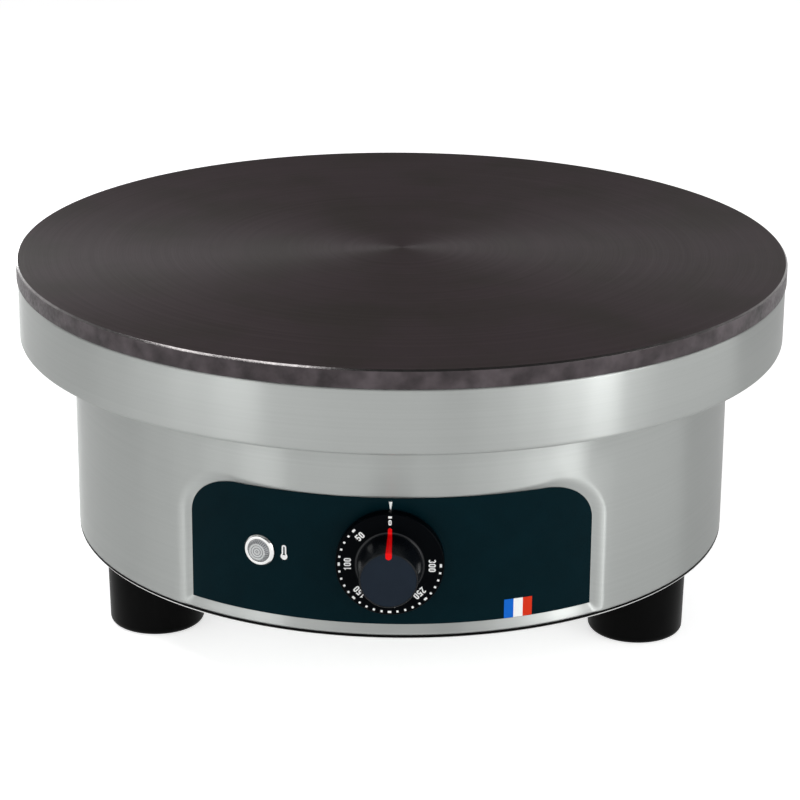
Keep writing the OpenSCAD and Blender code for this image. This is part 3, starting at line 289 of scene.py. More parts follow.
@dataclass(frozen=True)
class Finish:
    """One finish: a colour that varies, a grain in the surface, and how it shines.

    Size and length are those of the pattern and relief is its height. Spread is the colour's share
    that varies, and edge is how much of its colour metal keeps when it is seen at a slant.
    """

    name: str
    colour: Colour
    roughness: float
    pattern: Pattern = Pattern.GRAIN
    size: float = 0.25 * MM
    length: float = 12 * MM
    spread: float = 0.10
    rough_spread: float = 0.05
    relief: float = 0.01 * MM
    metallic: float = 0.0
    specular: float = 0.5
    anisotropic: float = 0.0
    edge: float = 1.0
    scratches: float = 0.0
    scratch_size: float = 30 * MM
    scratch_roughness: float = 0.2

    def material(self) -> bpy.types.Material:
        """Makes the finish's material at its first use.

        Returns:
            The material.
        """
        label = f"{self.name}_finish"
        if label in bpy.data.materials:
            return bpy.data.materials[label]
        material = bpy.data.materials.new(label)
        material.use_nodes = True
        bench = Bench(material.node_tree)
        shader = material.node_tree.nodes["Principled BSDF"]
        texture = self.group(bench, self.pattern.value, Size=self.size, Length=self.length)
        height, tone = texture.outputs["Height"], texture.outputs["Tone"]
        bump = bench.add("ShaderNodeBump", {"Strength": 1.0, "Distance": self.relief, "Height": height})
        bench.feed(shader, Base_Color=self.tint(bench, tone), Roughness=self.dullness(bench, height),
                   Normal=bump.outputs[0])
        for key, value in (("Metallic", self.metallic), ("Specular IOR Level", self.specular),
                           ("Specular Tint", (self.edge, self.edge, self.edge, 1.0)),
                           ("Anisotropic", self.anisotropic)):
            shader.inputs[key].default_value = value
        if self.anisotropic:
            shader.inputs["Anisotropic Rotation"].default_value = QUARTER_TURN
            tangent = bench.add("ShaderNodeTangent", direction_type="RADIAL", axis="Z")
            bench.feed(shader, Tangent=tangent.outputs[0])
        return material

    def group(self, bench: Bench, name: str, **values: float) -> bpy.types.Node:
        """Places a node group on a bench with values for its inputs, and returns its node."""
        return bench.add("ShaderNodeGroup", values, node_tree=bpy.data.node_groups[name])

    def tint(self, bench: Bench, tone: Socket) -> Socket:
        """Varies the colour.

        Args:
            bench: The material's bench.
            tone: The pattern's tone.

        Returns:
            The colour.
        """
        dark = tuple(c * (1 - self.spread) for c in self.colour)
        light = tuple(c * (1 + self.spread) for c in self.colour)
        return bench.blend(bench.span(tone, 0.0, 1.0, NOISE_DARK, NOISE_LIGHT), dark, light)

    def dullness(self, bench: Bench, height: Socket) -> Socket:
        """Varies the roughness, and raises it along the scratches where there are any.

        Args:
            bench: The material's bench.
            height: The pattern's height.

        Returns:
            The roughness.
        """
        low, high = self.roughness - self.rough_spread, self.roughness + self.rough_spread
        roughness = bench.span(height, low, high, NOISE_DARK, NOISE_LIGHT)
        if not self.scratches:
            return roughness
        wear = self.group(bench, "scuffs", Size=self.scratch_size, Amount=self.scratches)
        added = bench.math("MULTIPLY", wear.outputs["Mask"], self.scratch_roughness)
        return bench.math("ADD", roughness, added)


@dataclass(frozen=True)
class PlateIron(Finish):
    """Turned and seasoned iron: brown patches where the seasoning is thicker."""

    patch: Colour = (0.030, 0.025, 0.022)
    patch_size: float = 45 * MM
    patch_start: float = 0.42
    patch_end: float = 0.68
    patch_most: float = 0.7

    def tint(self, bench: Bench, tone: Socket) -> Socket:
        """Varies the colour and lays the patches over it.

        Args:
            bench: The material's bench.
            tone: The pattern's tone.

        Returns:
            The colour.
        """
        cloud = bench.noise(bench.place(), 1 / self.patch_size, 3.0)
        cover = bench.span(cloud, 0.0, self.patch_most, self.patch_start, self.patch_end)
        return bench.blend(cover, super().tint(bench, tone), self.patch)


@dataclass(frozen=True)
class ClearLens(Finish):
    """Moulded plastic of the lamp, clear to milky."""

    clearness: float = 0.55
    bending: float = 1.49

    def material(self) -> bpy.types.Material:
        """Makes the lens material with its slight moulding grain.

        Returns:
            The material.
        """
        material = super().material()
        shader = material.node_tree.nodes["Principled BSDF"]
        shader.inputs["Transmission Weight"].default_value = self.clearness
        shader.inputs["IOR"].default_value = self.bending
        return material


STEEL = Finish("brushed_steel", (0.397, 0.412, 0.402), 0.34, Pattern.RINGS, size=0.12 * MM, length=60 * MM,
               spread=0.022, rough_spread=0.012, relief=0.0015 * MM, metallic=1.0, anisotropic=1.0, edge=0.75)
PLATE_TOP = PlateIron("turned_iron", (0.041, 0.030, 0.0325), 0.56, Pattern.RINGS, size=0.35 * MM,
                      length=90 * MM, rough_spread=0.04, relief=0.004 * MM, specular=0.035, anisotropic=0.65)
PLATE_RIM = PlateIron("rim_iron", (0.040, 0.032, 0.035), 0.42, size=2.0 * MM, length=7 * MM, spread=0.40,
                      rough_spread=0.10, relief=0.08 * MM, specular=0.20, patch=(0.108, 0.090, 0.098),
                      patch_size=13 * MM)
PLATE_EDGE = Finish("edge_iron", (0.16, 0.15, 0.15), 0.20, size=1.2 * MM, length=5 * MM, spread=0.2,
                    relief=0.03 * MM, metallic=1.0)
PANEL = Finish("panel_film", (0.0009, 0.0108, 0.0150), 0.30, size=0.4 * MM, relief=0.002 * MM, spread=0.08,
               specular=0.03, scratches=0.4)
# Skirt and grip are one moulding of one plastic: the skirt's darker, duller finish is painted shade and the
# grip's lighter, glossier copy is painted light.
KNOB = Finish("knob_plastic", (0.0004, 0.0009, 0.0016), 0.30, size=0.3 * MM, relief=0.003 * MM,
              specular=0.025, scratches=0.5)
GRIP_LIT = replace(KNOB, name="grip_plastic_lit", colour=(0.0012, 0.0020, 0.0034), roughness=0.28, specular=0.26)
CAP = Finish("cap_plastic", (0.0065, 0.0125, 0.0220), 0.45, size=0.2 * MM, relief=0.004 * MM, specular=0.12)
POINTER = Finish("pointer_red", (0.84, 0.002, 0.003), 0.32, size=0.3 * MM, relief=0.002 * MM, spread=0.06,
                 specular=0.12)
CHROME = Finish("bezel_chrome", (0.80, 0.80, 0.79), 0.10, size=0.5 * MM, relief=0.001 * MM, metallic=1.0,
                rough_spread=0.03, spread=0.02)
REFLECTOR = Finish("lamp_reflector", (0.86, 0.87, 0.86), 0.35, size=0.3 * MM, spread=0.03)
LENS = ClearLens("lamp_lens", (0.80, 0.81, 0.83), 0.16, size=0.4 * MM, spread=0.04, rough_spread=0.04,
                 relief=0.002 * MM)
LENS_FACE = replace(LENS, name="lamp_lens_face", colour=(0.86, 0.88, 0.88), roughness=0.14, clearness=0.35)
# Painted shade: the lens's grooves take this dark grey copy of the clear lens, so that they look shaded.
LENS_GROOVE_SHADE = replace(LENS, name="lamp_lens_groove_shade", colour=(0.16, 0.17, 0.18), roughness=0.20,
                      clearness=0.25)
RUBBER = Finish("foot_rubber", (0.0010, 0.0011, 0.0011), 0.36, size=0.35 * MM, relief=0.006 * MM,
                spread=0.2, rough_spread=0.06, specular=0.05)
CUT_EDGE = Finish("cut_edge", (0.76, 0.76, 0.75), 0.26, size=0.4 * MM, relief=0.002 * MM, metallic=1.0,
                  spread=0.03)
NYLON = Finish("black_nylon", (0.014, 0.014, 0.015), 0.50, relief=0.012 * MM)
ZINC = Finish("zinc_steel", (0.60, 0.60, 0.57), 0.30, size=0.4 * MM, relief=0.004 * MM, metallic=1.0,
              rough_spread=0.10)
SHIELD = Finish("shield_steel", (0.62, 0.62, 0.60), 0.40, size=1.2 * MM, length=18 * MM, metallic=1.0,
                rough_spread=0.10)
SHEATH = Finish("element_sheath", (0.15, 0.13, 0.12), 0.48, size=0.4 * MM, length=20 * MM, metallic=1.0,
                spread=0.35)
BRASS = Finish("brass", (0.72, 0.52, 0.24), 0.32, size=0.4 * MM, metallic=1.0, rough_spread=0.10)
COPPER = replace(BRASS, name="copper", colour=(0.78, 0.42, 0.27), roughness=0.30)
CERAMIC = Finish("ceramic", (0.80, 0.77, 0.70), 0.60, size=0.3 * MM, relief=0.02 * MM, spread=0.06)
FIBRE = Finish("fibre_blanket", (0.80, 0.78, 0.72), 0.95, Pattern.WOOL, size=1.5 * MM, relief=0.6 * MM)
LIVE = Finish("lead_brown", (0.10, 0.045, 0.025), 0.45, size=0.3 * MM)
NEUTRAL = replace(LIVE, name="lead_blue", colour=(0.02, 0.07, 0.32))
EARTH = replace(LIVE, name="lead_green", colour=(0.17, 0.33, 0.03))
INK_WHITE = Finish("ink_white", (0.92, 0.93, 0.92), 0.45, size=0.15 * MM, spread=0.03, relief=0.004 * MM,
                   specular=0.15)
INK_BLUE = replace(INK_WHITE, name="ink_blue", colour=(0.004, 0.130, 0.600), spread=0.04, specular=0.10)
INK_RED = replace(INK_BLUE, name="ink_red", colour=(0.680, 0.032, 0.007))


# ---------------------------------------------------------------------------------------------
# Mesh building


def evenly(start: float, end: float, steps: int) -> list[float]:
    """Returns steps + 1 values, evenly from start to end."""
    return [start + (end - start) * k / steps for k in range(steps + 1)]


def outward(angle: float, height: float) -> Matrix:
    """Returns the placing of a piece on the casing: its Z points away from the plate's axis.

    Args:
        angle: Direction in degrees from the front, positive to the right.
        height: Height above the table.

    Returns:
        The matrix that puts local X to the right, Y up and Z outwards.
    """
    turn = math.radians(angle)
    right = (math.cos(turn), math.sin(turn), 0.0)
    out = (math.sin(turn), -math.cos(turn), 0.0)
    rows = [(right[i], (0.0, 0.0, 1.0)[i], out[i], (0.0, 0.0, height)[i]) for i in range(3)]
    return Matrix((*rows, (0.0, 0.0, 0.0, 1.0)))


def rounded(corners: Sequence[Corner], steps: int = 6, closed: bool = True) -> list[Point]:
    """Rounds the corners of an outline.

    Args:
        corners: Points with the radius of their rounding, nought for a sharp corner.
        steps: Chords in each rounding.
        closed: Whether the outline returns to its first point. An open one keeps its ends.

    Returns:
        The points of the rounded outline.
    """
    points: list[Point] = []
    count = len(corners)
    for i, (x, y, radius) in enumerate(corners):
        here = Vector((x, y))
        if radius <= 0 or (not closed and i in (0, count - 1)):
            points.append((x, y))
            continue
        before = Vector(corners[i - 1][:2]) - here
        after = Vector(corners[(i + 1) % count][:2]) - here
        half = before.angle(after) / 2
        reach = min(radius / math.tan(half), ROUNDED_PART * before.length, ROUNDED_PART * after.length)
        radius = reach * math.tan(half)
        first, last = here + before.normalized() * reach, here + after.normalized() * reach
        centre = here + (before.normalized() + after.normalized()).normalized() * radius / math.sin(half)
        turn = math.pi - 2 * half
        for k in range(steps + 1):
            share = k / steps
            weight_a = math.sin((1 - share) * turn) / math.sin(turn)
            weight_b = math.sin(share * turn) / math.sin(turn)
            place = centre + (first - centre) * weight_a + (last - centre) * weight_b
            points.append((place.x, place.y))
    return points


def finished(bm: bmesh.types.BMesh, name: str, sharp: float = 32.0) -> Mesh:
    """Turns an edit mesh into a smooth-shaded mesh.

    Args:
        bm: The edit mesh, which is used up.
        name: The mesh's name.
        sharp: Angle in degrees above which an edge stays sharp.

    Returns:
        The mesh.
    """
    bmesh.ops.recalc_face_normals(bm, faces=bm.faces)
    mesh = bpy.data.meshes.new(name)
    bm.to_mesh(mesh)
    bm.free()
    mesh.shade_smooth()
    mesh.set_sharp_from_angle(angle=math.radians(sharp))
    return mesh


def bridge(bm: bmesh.types.BMesh, low: Row, high: Row) -> None:
    """Joins two closed rows of as many points with a face for each step.

    Args:
        bm: The edit mesh.
        low: The points of one row.
        high: The points of the other.
    """
    for k in range(len(low)):
        m = (k + 1) % len(low)
        bm.faces.new((low[k], low[m], high[m], high[k]))


def lathe(outline: Sequence[Point], segments: int = 192, closed: bool = True,
          ripple: Optional[Ripple] = None) -> Mesh:
    """Revolves an outline of (radius, height) points about Z.

    Args:
        outline: The points, with a radius of nought where the outline meets the axis.
        segments: Steps in the full turn.
        closed: Whether the last point joins the first.
        ripple: Gives the radius at an angle in radians, a radius and a height.

    Returns:
        The mesh of the closed solid.
    """
    bm = bmesh.new()
    rings = []
    for radius, height in outline:
        if radius < TOUCHING:
            rings.append([bm.verts.new((0.0, 0.0, height))])
            continue
        ring = []
        for k in range(segments):
            angle = math.tau * k / segments
            here = ripple(angle, radius, height) if ripple else radius
            ring.append(bm.verts.new((here * math.cos(angle), here * math.sin(angle), height)))
        rings.append(ring)
    for i in range(len(rings) if closed else len(rings) - 1):
        low, high = rings[i], rings[(i + 1) % len(rings)]
        if len(low) + len(high) == 2:
            continue
        for k in range(segments):
            m = k + 1
            around = (low[k % len(low)], low[m % len(low)], high[m % len(high)], high[k % len(high)])
            bm.faces.new(dict.fromkeys(around))
    return finished(bm, "turned")


def circle(radius: float, steps: int = 48, x: float = 0.0, y: float = 0.0) -> list[Point]:
    """Returns the points of a circle."""
    turns = evenly(0.0, math.tau, steps)[:-1]
    return [(x + radius * math.cos(a), y + radius * math.sin(a)) for a in turns]


def bow(x: float, y: float, across: float, up: float, start: float, end: float,
        step: float = 15.0) -> list[Point]:
    """Returns the points of an arc.

    Args:
        x: Middle of its ellipse, sideways.
        y: Middle of its ellipse, upwards.
        across: Half the ellipse's width.
        up: Half the ellipse's height.
        start: First direction in degrees, counter-clockwise from the right.
        end: Last direction in degrees.
        step: Degrees from point to point, or nearly so.

    Returns:
        The points, with both ends.
    """
    turns = [math.radians(angle) for angle in evenly(start, end, max(2, round(abs(end - start) / step)))]
    return [(x + across * math.cos(a), y + up * math.sin(a)) for a in turns]


def new_object(name: str, data: bpy.types.ID) -> bpy.types.Object:
    """Makes an object in the scene.

    Args:
        name: The object's name.
        data: Its mesh, curve, light or camera.

    Returns:
        The object.
    """
    item = bpy.data.objects.new(name, data)
    bpy.context.scene.collection.objects.link(item)
    return item


def applied(holder: bpy.types.Object) -> Mesh:
    """Turns an object and its modifiers into a mesh, and removes the object.

    Args:
        holder: The object.

    Returns:
        The mesh.
    """
    bpy.context.view_layer.update()
    depsgraph = bpy.context.evaluated_depsgraph_get()
    mesh = bpy.data.meshes.new_from_object(holder.evaluated_get(depsgraph))
    bpy.data.objects.remove(holder)
    return mesh


def slab(loops: Sequence[Sequence[Point]], thickness: float, edge: float = 0.0) -> Mesh:
    """Makes a flat plate from its outlines, holes included, standing on Z = 0.

    Args:
        loops: Closed outlines. One inside another is a hole.
        thickness: The plate's thickness.
        edge: Rounding of its edges.

    Returns:
        The mesh.
    """
    curve = bpy.data.curves.new("slab", "CURVE")
    curve.dimensions = "2D"
    curve.fill_mode = "BOTH"
    curve.extrude = thickness / 2 - edge
    curve.bevel_depth = edge
    curve.bevel_resolution = 2
    curve.offset = -edge
    for loop in loops:
        spline = curve.splines.new("POLY")
        spline.points.add(len(loop) - 1)
        for point, (x, y) in zip(spline.points, loop):
            point.co = (x, y, 0.0, 1.0)
        spline.use_cyclic_u = True
    mesh = applied(new_object("slab", curve))
    bpy.data.curves.remove(curve)
    mesh.transform(Matrix.Translation((0, 0, thickness / 2)))
    bm = bmesh.new()
    bm.from_mesh(mesh)
    bmesh.ops.remove_doubles(bm, verts=bm.verts, dist=TOUCHING)
    bpy.data.meshes.remove(mesh)
    return finished(bm, "slab")


def stroke(path: Sequence[Point], width: float, depth: float, closed: bool = False) -> Mesh:
    """Makes a raised line of even width along a path, standing on Z = 0.

    Args:
        path: The middle of the line.
        width: Its width.
        depth: Its thickness.
        closed: Whether its last point joins the first.

    Returns:
        The mesh.
    """
    bm = bmesh.new()
    last = len(path) - 1
    sections = []
    for i, point in enumerate(path):
        here = Vector(point)
        ahead = Vector(path[(i + 1) % len(path)]) - here
        behind = here - Vector(path[i - 1])
        if not closed and i == last:
            ahead = behind
        if not closed and i == 0:
            behind = ahead
        along = (ahead.normalized() + behind.normalized()).normalized()
        side = Vector((-along.y, along.x))
        square = max(MITRE_LIMIT, abs(along.dot(ahead.normalized())))
        left, right = here + side * width / 2 / square, here - side * width / 2 / square
        corners = ((left, 0), (left, depth), (right, depth), (right, 0))
        sections.append([bm.verts.new((*place, z)) for place, z in corners])
    for i in range(last + 1 if closed else last):
        bridge(bm, sections[i], sections[(i + 1) % len(sections)])
    if not closed:
        bm.faces.new(sections[0])
        bm.faces.new(sections[-1])
    return finished(bm, "stroke")


def joined(parts: Iterable[tuple[Mesh, Matrix]], name: str) -> Mesh:
    """Joins placed copies of meshes into one mesh.

    Args:
        parts: Meshes with the placing of each copy.
        name: The new mesh's name.

    Returns:
        The joined mesh, shaded smooth.
    """
    bm = bmesh.new()
    for mesh, place in parts:
        copy = mesh.copy()
        copy.transform(place)
        bm.from_mesh(copy)
        bpy.data.meshes.remove(copy)
    return finished(bm, name)


def wrapped(mesh: Mesh, radius: float) -> Mesh:
    """Bends a flat mesh round the plate's axis.

    Args:
        mesh: X is the way round to the right, Y the height above the table, Z the thickness.
        radius: Where Z = 0 comes to lie.

    Returns:
        The same mesh, bent.
    """
    for vertex in mesh.vertices:
        angle = vertex.co.x / radius
        out = radius + vertex.co.z
        vertex.co = (out * math.sin(angle), -out * math.cos(angle), vertex.co.y)
    return mesh


def place_piece(name: str, mesh: Mesh, finishes: Sequence[Finish], slot: Slot, body: Body = Body.CASING,
                nodes: Sequence[str] = (), place: Optional[Matrix] = None) -> bpy.types.Object:
    """Puts a finished piece in the scene.

    Args:
        name: The piece's name.
        mesh: Its mesh.
        finishes: Its finishes, in the order of the faces' material numbers.
        slot: The record's slot. Not used.
        body: The body that it rides on.
        nodes: The nodes that it stands for.
        place: Where its mesh goes, if it isn't in the frame's place already.

    Returns:
        The piece.
    """
    if place is not None:
        mesh.transform(place)
    mesh.name = name
    piece = new_object(name, mesh)
    for finish in finishes:
        mesh.materials.append(finish.material())
    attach(piece, body.value)
    if nodes:
        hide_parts(*nodes)
    log.info("%s: %d faces on %s", name, len(mesh.polygons), body.value)
    return piece


def node_box(node: str) -> tuple[Vector, Vector]:
    """Returns a node's lowest and highest corner."""
    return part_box(node)


# ---------------------------------------------------------------------------------------------
# Sub-assemblies


@dataclass
class CookingPlate:
    """The turned cast plate: bare rim above the band, and the pad that holds the rings."""

    chamfer: float = 0.9 * MM
    edge: float = 0.15 * MM
    seat_edge: float = 0.3 * MM
    pad_depth: float = 6 * MM
    pad_gap: float = 12.6 * MM
    pad_edge: float = 0.5 * MM
    ring_radii: tuple[float, ...] = (56 * MM, 99 * MM, 142 * MM)
    groove: float = 4.2 * MM
    # Parts of the radius at which the flat top has rings, so that its fan of light stays even.
    top_rings: tuple[float, ...] = (0.01, 0.04, 0.12, 0.25, 0.4, 0.55, 0.7, 0.85, 0.96)
    segments: int = 360

    def build(self) -> None:
        """Makes the plate with its three finishes."""
        high = node_box("griddle_plate")[1]
        seat = node_box("upper_band")[1].z
        radius, top = high.x, high.z
        face, pad = seat - self.pad_depth, radius - self.pad_gap
        outline = rounded([(0.0, top, 0), (radius - self.chamfer, top, self.edge),
                           (radius, top - self.chamfer, self.edge), (radius, seat, self.seat_edge),
                           (pad, seat, 0), (pad, face, self.pad_edge)], closed=False)
        for ring in reversed(self.ring_radii):
            outline += bow(ring, face, self.groove, self.groove, 0, 180)
        outline.append((0.0, face))
        outline[1:1] = [(radius * share, top) for share in self.top_rings]
        mesh = lathe(outline, self.segments, closed=False)
        for polygon in mesh.polygons:
            middle = polygon.center
            below = top - middle.z
            on_edge = 0 < below < self.chamfer and math.hypot(middle.x, middle.y) > radius - self.chamfer
            polygon.material_index = 2 if on_edge else (1 if below > self.chamfer else 0)
        place_piece("cooking_plate", mesh, (PLATE_TOP, PLATE_RIM, PLATE_EDGE), Slot.CAST_IRON,
                    nodes=("griddle_plate",))


@dataclass
class BandRing:
    """The steel band that carries the plate."""

    sheet: float = 1.2 * MM
    foot_bend: float = 2.6 * MM
    top_bend: float = 1.6 * MM
    lip: float = 11 * MM
    floor_inner: float = 154.5 * MM
    segments: int = 360

    def build(self) -> None:
        """Makes the band as one bent sheet."""
        low, high = node_box("upper_band")
        radius, foot, top, sheet = high.x, low.z, high.z, self.sheet
        lip = radius - self.lip
        outline = rounded([
            (self.floor_inner, foot, 0), (radius, foot, self.foot_bend), (radius, top, self.top_bend),
            (lip, top, 0), (lip, top - sheet, 0),
            (radius - sheet, top - sheet, self.top_bend - sheet),
            (radius - sheet, foot + sheet, self.foot_bend - sheet), (self.floor_inner, foot + sheet, 0)])
        place_piece("band_ring", lathe(outline, self.segments), (STEEL,), Slot.STEEL, nodes=("upper_band",))


@dataclass
class RecessForm:
    """Shape of the pressed recess, laid out flat: s is the way round its floor, z the height."""

    floor_radius: float = 168.7 * MM
    turned: float = -0.2
    span: float = 70.6
    low: float = 41.4 * MM
    height: float = 65.6 * MM
    corner_wide: float = 27 * MM
    corner_tall: float = 20.5 * MM
    border: float = 0.9 * MM
    border_swell: float = 2.4 * MM
    flank: float = 5.0 * MM
    sill: float = 6.0 * MM
    tuck: float = 1.2 * MM
    depth: float = 2.8 * MM
    foot_softness: float = 0.22
    brow_softness: float = 0.42
    corner_blend: float = 0.8

    @property
    def half(self) -> float:
        """Half the floor's width, measured round it."""
        return math.radians(self.span / 2) * self.floor_radius

    @property
    def top(self) -> float:
        """Height of the floor's upper edge."""
        return self.low + self.height

    def around(self, turn: float) -> float:
        """Returns the way round the floor at a turn about the object's axis."""
        return (turn - math.radians(self.turned)) * self.floor_radius

    def turn(self, s: float) -> float:
        """Returns the turn about the object's axis at a way round the floor."""
        return s / self.floor_radius + math.radians(self.turned)

    def top_at(self, s: float, inset: float = 0.0) -> float:
        """Works out the height of the floor's upper edge.

        Args:
            s: Way round the floor.
            inset: How far the edge is moved in.

        Returns:
            The height.
        """
        wide, tall = self.corner_wide - inset, self.corner_tall - inset
        over = max(0.0, abs(s) - (self.half - self.corner_wide))
        return self.top - self.corner_tall + tall * math.sqrt(max(0.0, 1 - (over / wide) ** 2))

    def slope_place(self, s: float, z: float) -> float:
        """Works out how far a point is up the sloping border.

        The foot lies a little inside the panel's outline, except along the top.

        Args:
            s: Way round the floor.
            z: Height.

        Returns:
            0 at the slope's foot and 1 at its brow, less inside and more outside.
        """
        straight = self.half - self.corner_wide
        across = abs(s) - straight
        above = z - (self.top - self.corner_tall)
        border = self.border + self.border_swell * min(1.0, abs(s) / straight) ** 4
        if across > 0 and above > 0:
            side = math.cos(math.atan2(above, across))
            start = self.tuck * side
            width = border + (self.flank - border) * math.sqrt(side) + start
            share = math.hypot(across / self.corner_wide, above / self.corner_tall)
            upper = (math.hypot(across, above) * (1 - 1 / share) + start) / width
        elif above > 0:
            upper = (above - self.corner_tall) / border
        else:
            upper = (across - self.corner_wide + self.tuck) / (self.flank + self.tuck)
        lower = (self.low - z + self.tuck) / (self.sill + self.tuck)
        blend = self.corner_blend * min(1.0, max(upper, lower))
        if blend <= 0 or abs(upper - lower) >= blend:
            return max(upper, lower)
        return max(upper, lower) + (blend - abs(upper - lower)) ** 2 / (4 * blend)

    def sunk(self, s: float, z: float) -> float:
        """Works out how deep the sheet is pressed in at a point.

        Args:
            s: Way round the floor.
            z: Height.

        Returns:
            The depth.
        """
        place = self.slope_place(s, z)
        foot, brow = self.foot_softness, self.brow_softness
        if place <= -foot:
            rise = 0.0
        elif place < foot:
            rise = (place + foot) ** 2 / (4 * foot)
        elif place <= 1 - brow:
            rise = place
        elif place < 1 + brow:
            rise = 1 - (1 + brow - place) ** 2 / (4 * brow)
        else:
            rise = 1.0
        return self.depth * (1 - rise)


@dataclass
class BodyShell:
    """The lower body: one sheet with turned-in flanges and the pressed recess."""

    recess: RecessForm
    sheet: float = 1.0 * MM
    bend: float = 1.6 * MM
    flange_inner: float = 154.5 * MM
    fine_step: float = 0.36
    coarse_step: float = 3.0
    fine_span: float = 39.0
    row: float = 0.6 * MM
    fine_top: float = 112 * MM
    upper_rows: int = 4
    slack: float = 0.01 * MM

    def directions(self) -> list[float]:
        """Sets the mesh's columns, close together across the recess.

        Returns:
            The angles in degrees.
        """
        rest = 360 - 2 * self.fine_span
        fine = evenly(-self.fine_span, self.fine_span, round(2 * self.fine_span / self.fine_step))
        return fine + evenly(self.fine_span, 360 - self.fine_span, round(rest / self.coarse_step))[1:-1]

    def wall_rows(self, low: float, high: float) -> list[float]:
        """Returns the heights of the wall's rows, close together across the recess."""
        fine = evenly(low, self.fine_top, round((self.fine_top - low) / self.row))
        return fine + evenly(self.fine_top, high, self.upper_rows)[1:]

    def section(self, radius: float, low: float, high: float) -> list[Point]:
        """Draws the section of the sheet.

        Args:
            radius: The body's outer radius.
            low: Its lower edge.
            high: Its upper edge.

        Returns:
            The closed section, upwards on the outside and downwards on the inside.
        """
        sheet, bend, lip = self.sheet, self.bend, self.flange_inner
        outside = rounded([(lip, low, 0), (radius, low, bend), (radius, high, bend), (lip, high, 0)],
                          closed=False)
        inside = rounded([(lip, high - sheet, 0), (radius - sheet, high - sheet, bend - sheet),
                          (radius - sheet, low + sheet, bend - sheet), (lip, low + sheet, 0)], closed=False)
        half = len(outside) // 2
        up = [(radius, z) for z in self.wall_rows(low + bend, high - bend)[1:-1]]
        down = [(radius - sheet, z) for _, z in reversed(up)]
        return outside[:half] + up + outside[half:] + inside[:half] + down + inside[half:]

    def build(self) -> None:
        """Makes the shell."""
        low, high = node_box("body_shell")
        radius = high.x
        section = self.section(radius, low.z, high.z)
        wall = radius - self.sheet - self.slack
        bm = bmesh.new()
        columns = []
        for angle in self.directions():
            turn = math.radians(angle)
            s = self.recess.around(turn)
            near = abs(angle) < self.fine_span
            column = []
            for r, z in section:
                out = r - self.recess.sunk(s, z) if near and r > wall and z < self.fine_top else r
                column.append(bm.verts.new((out * math.sin(turn), -out * math.cos(turn), z)))
            columns.append(column)
        for column, following in zip(columns, columns[1:] + columns[:1]):
            bridge(bm, column, following)
        mesh = finished(bm, "body_shell", sharp=50.0)
        place_piece("pressed_body", mesh, (STEEL,), Slot.STEEL, nodes=("body_shell",))


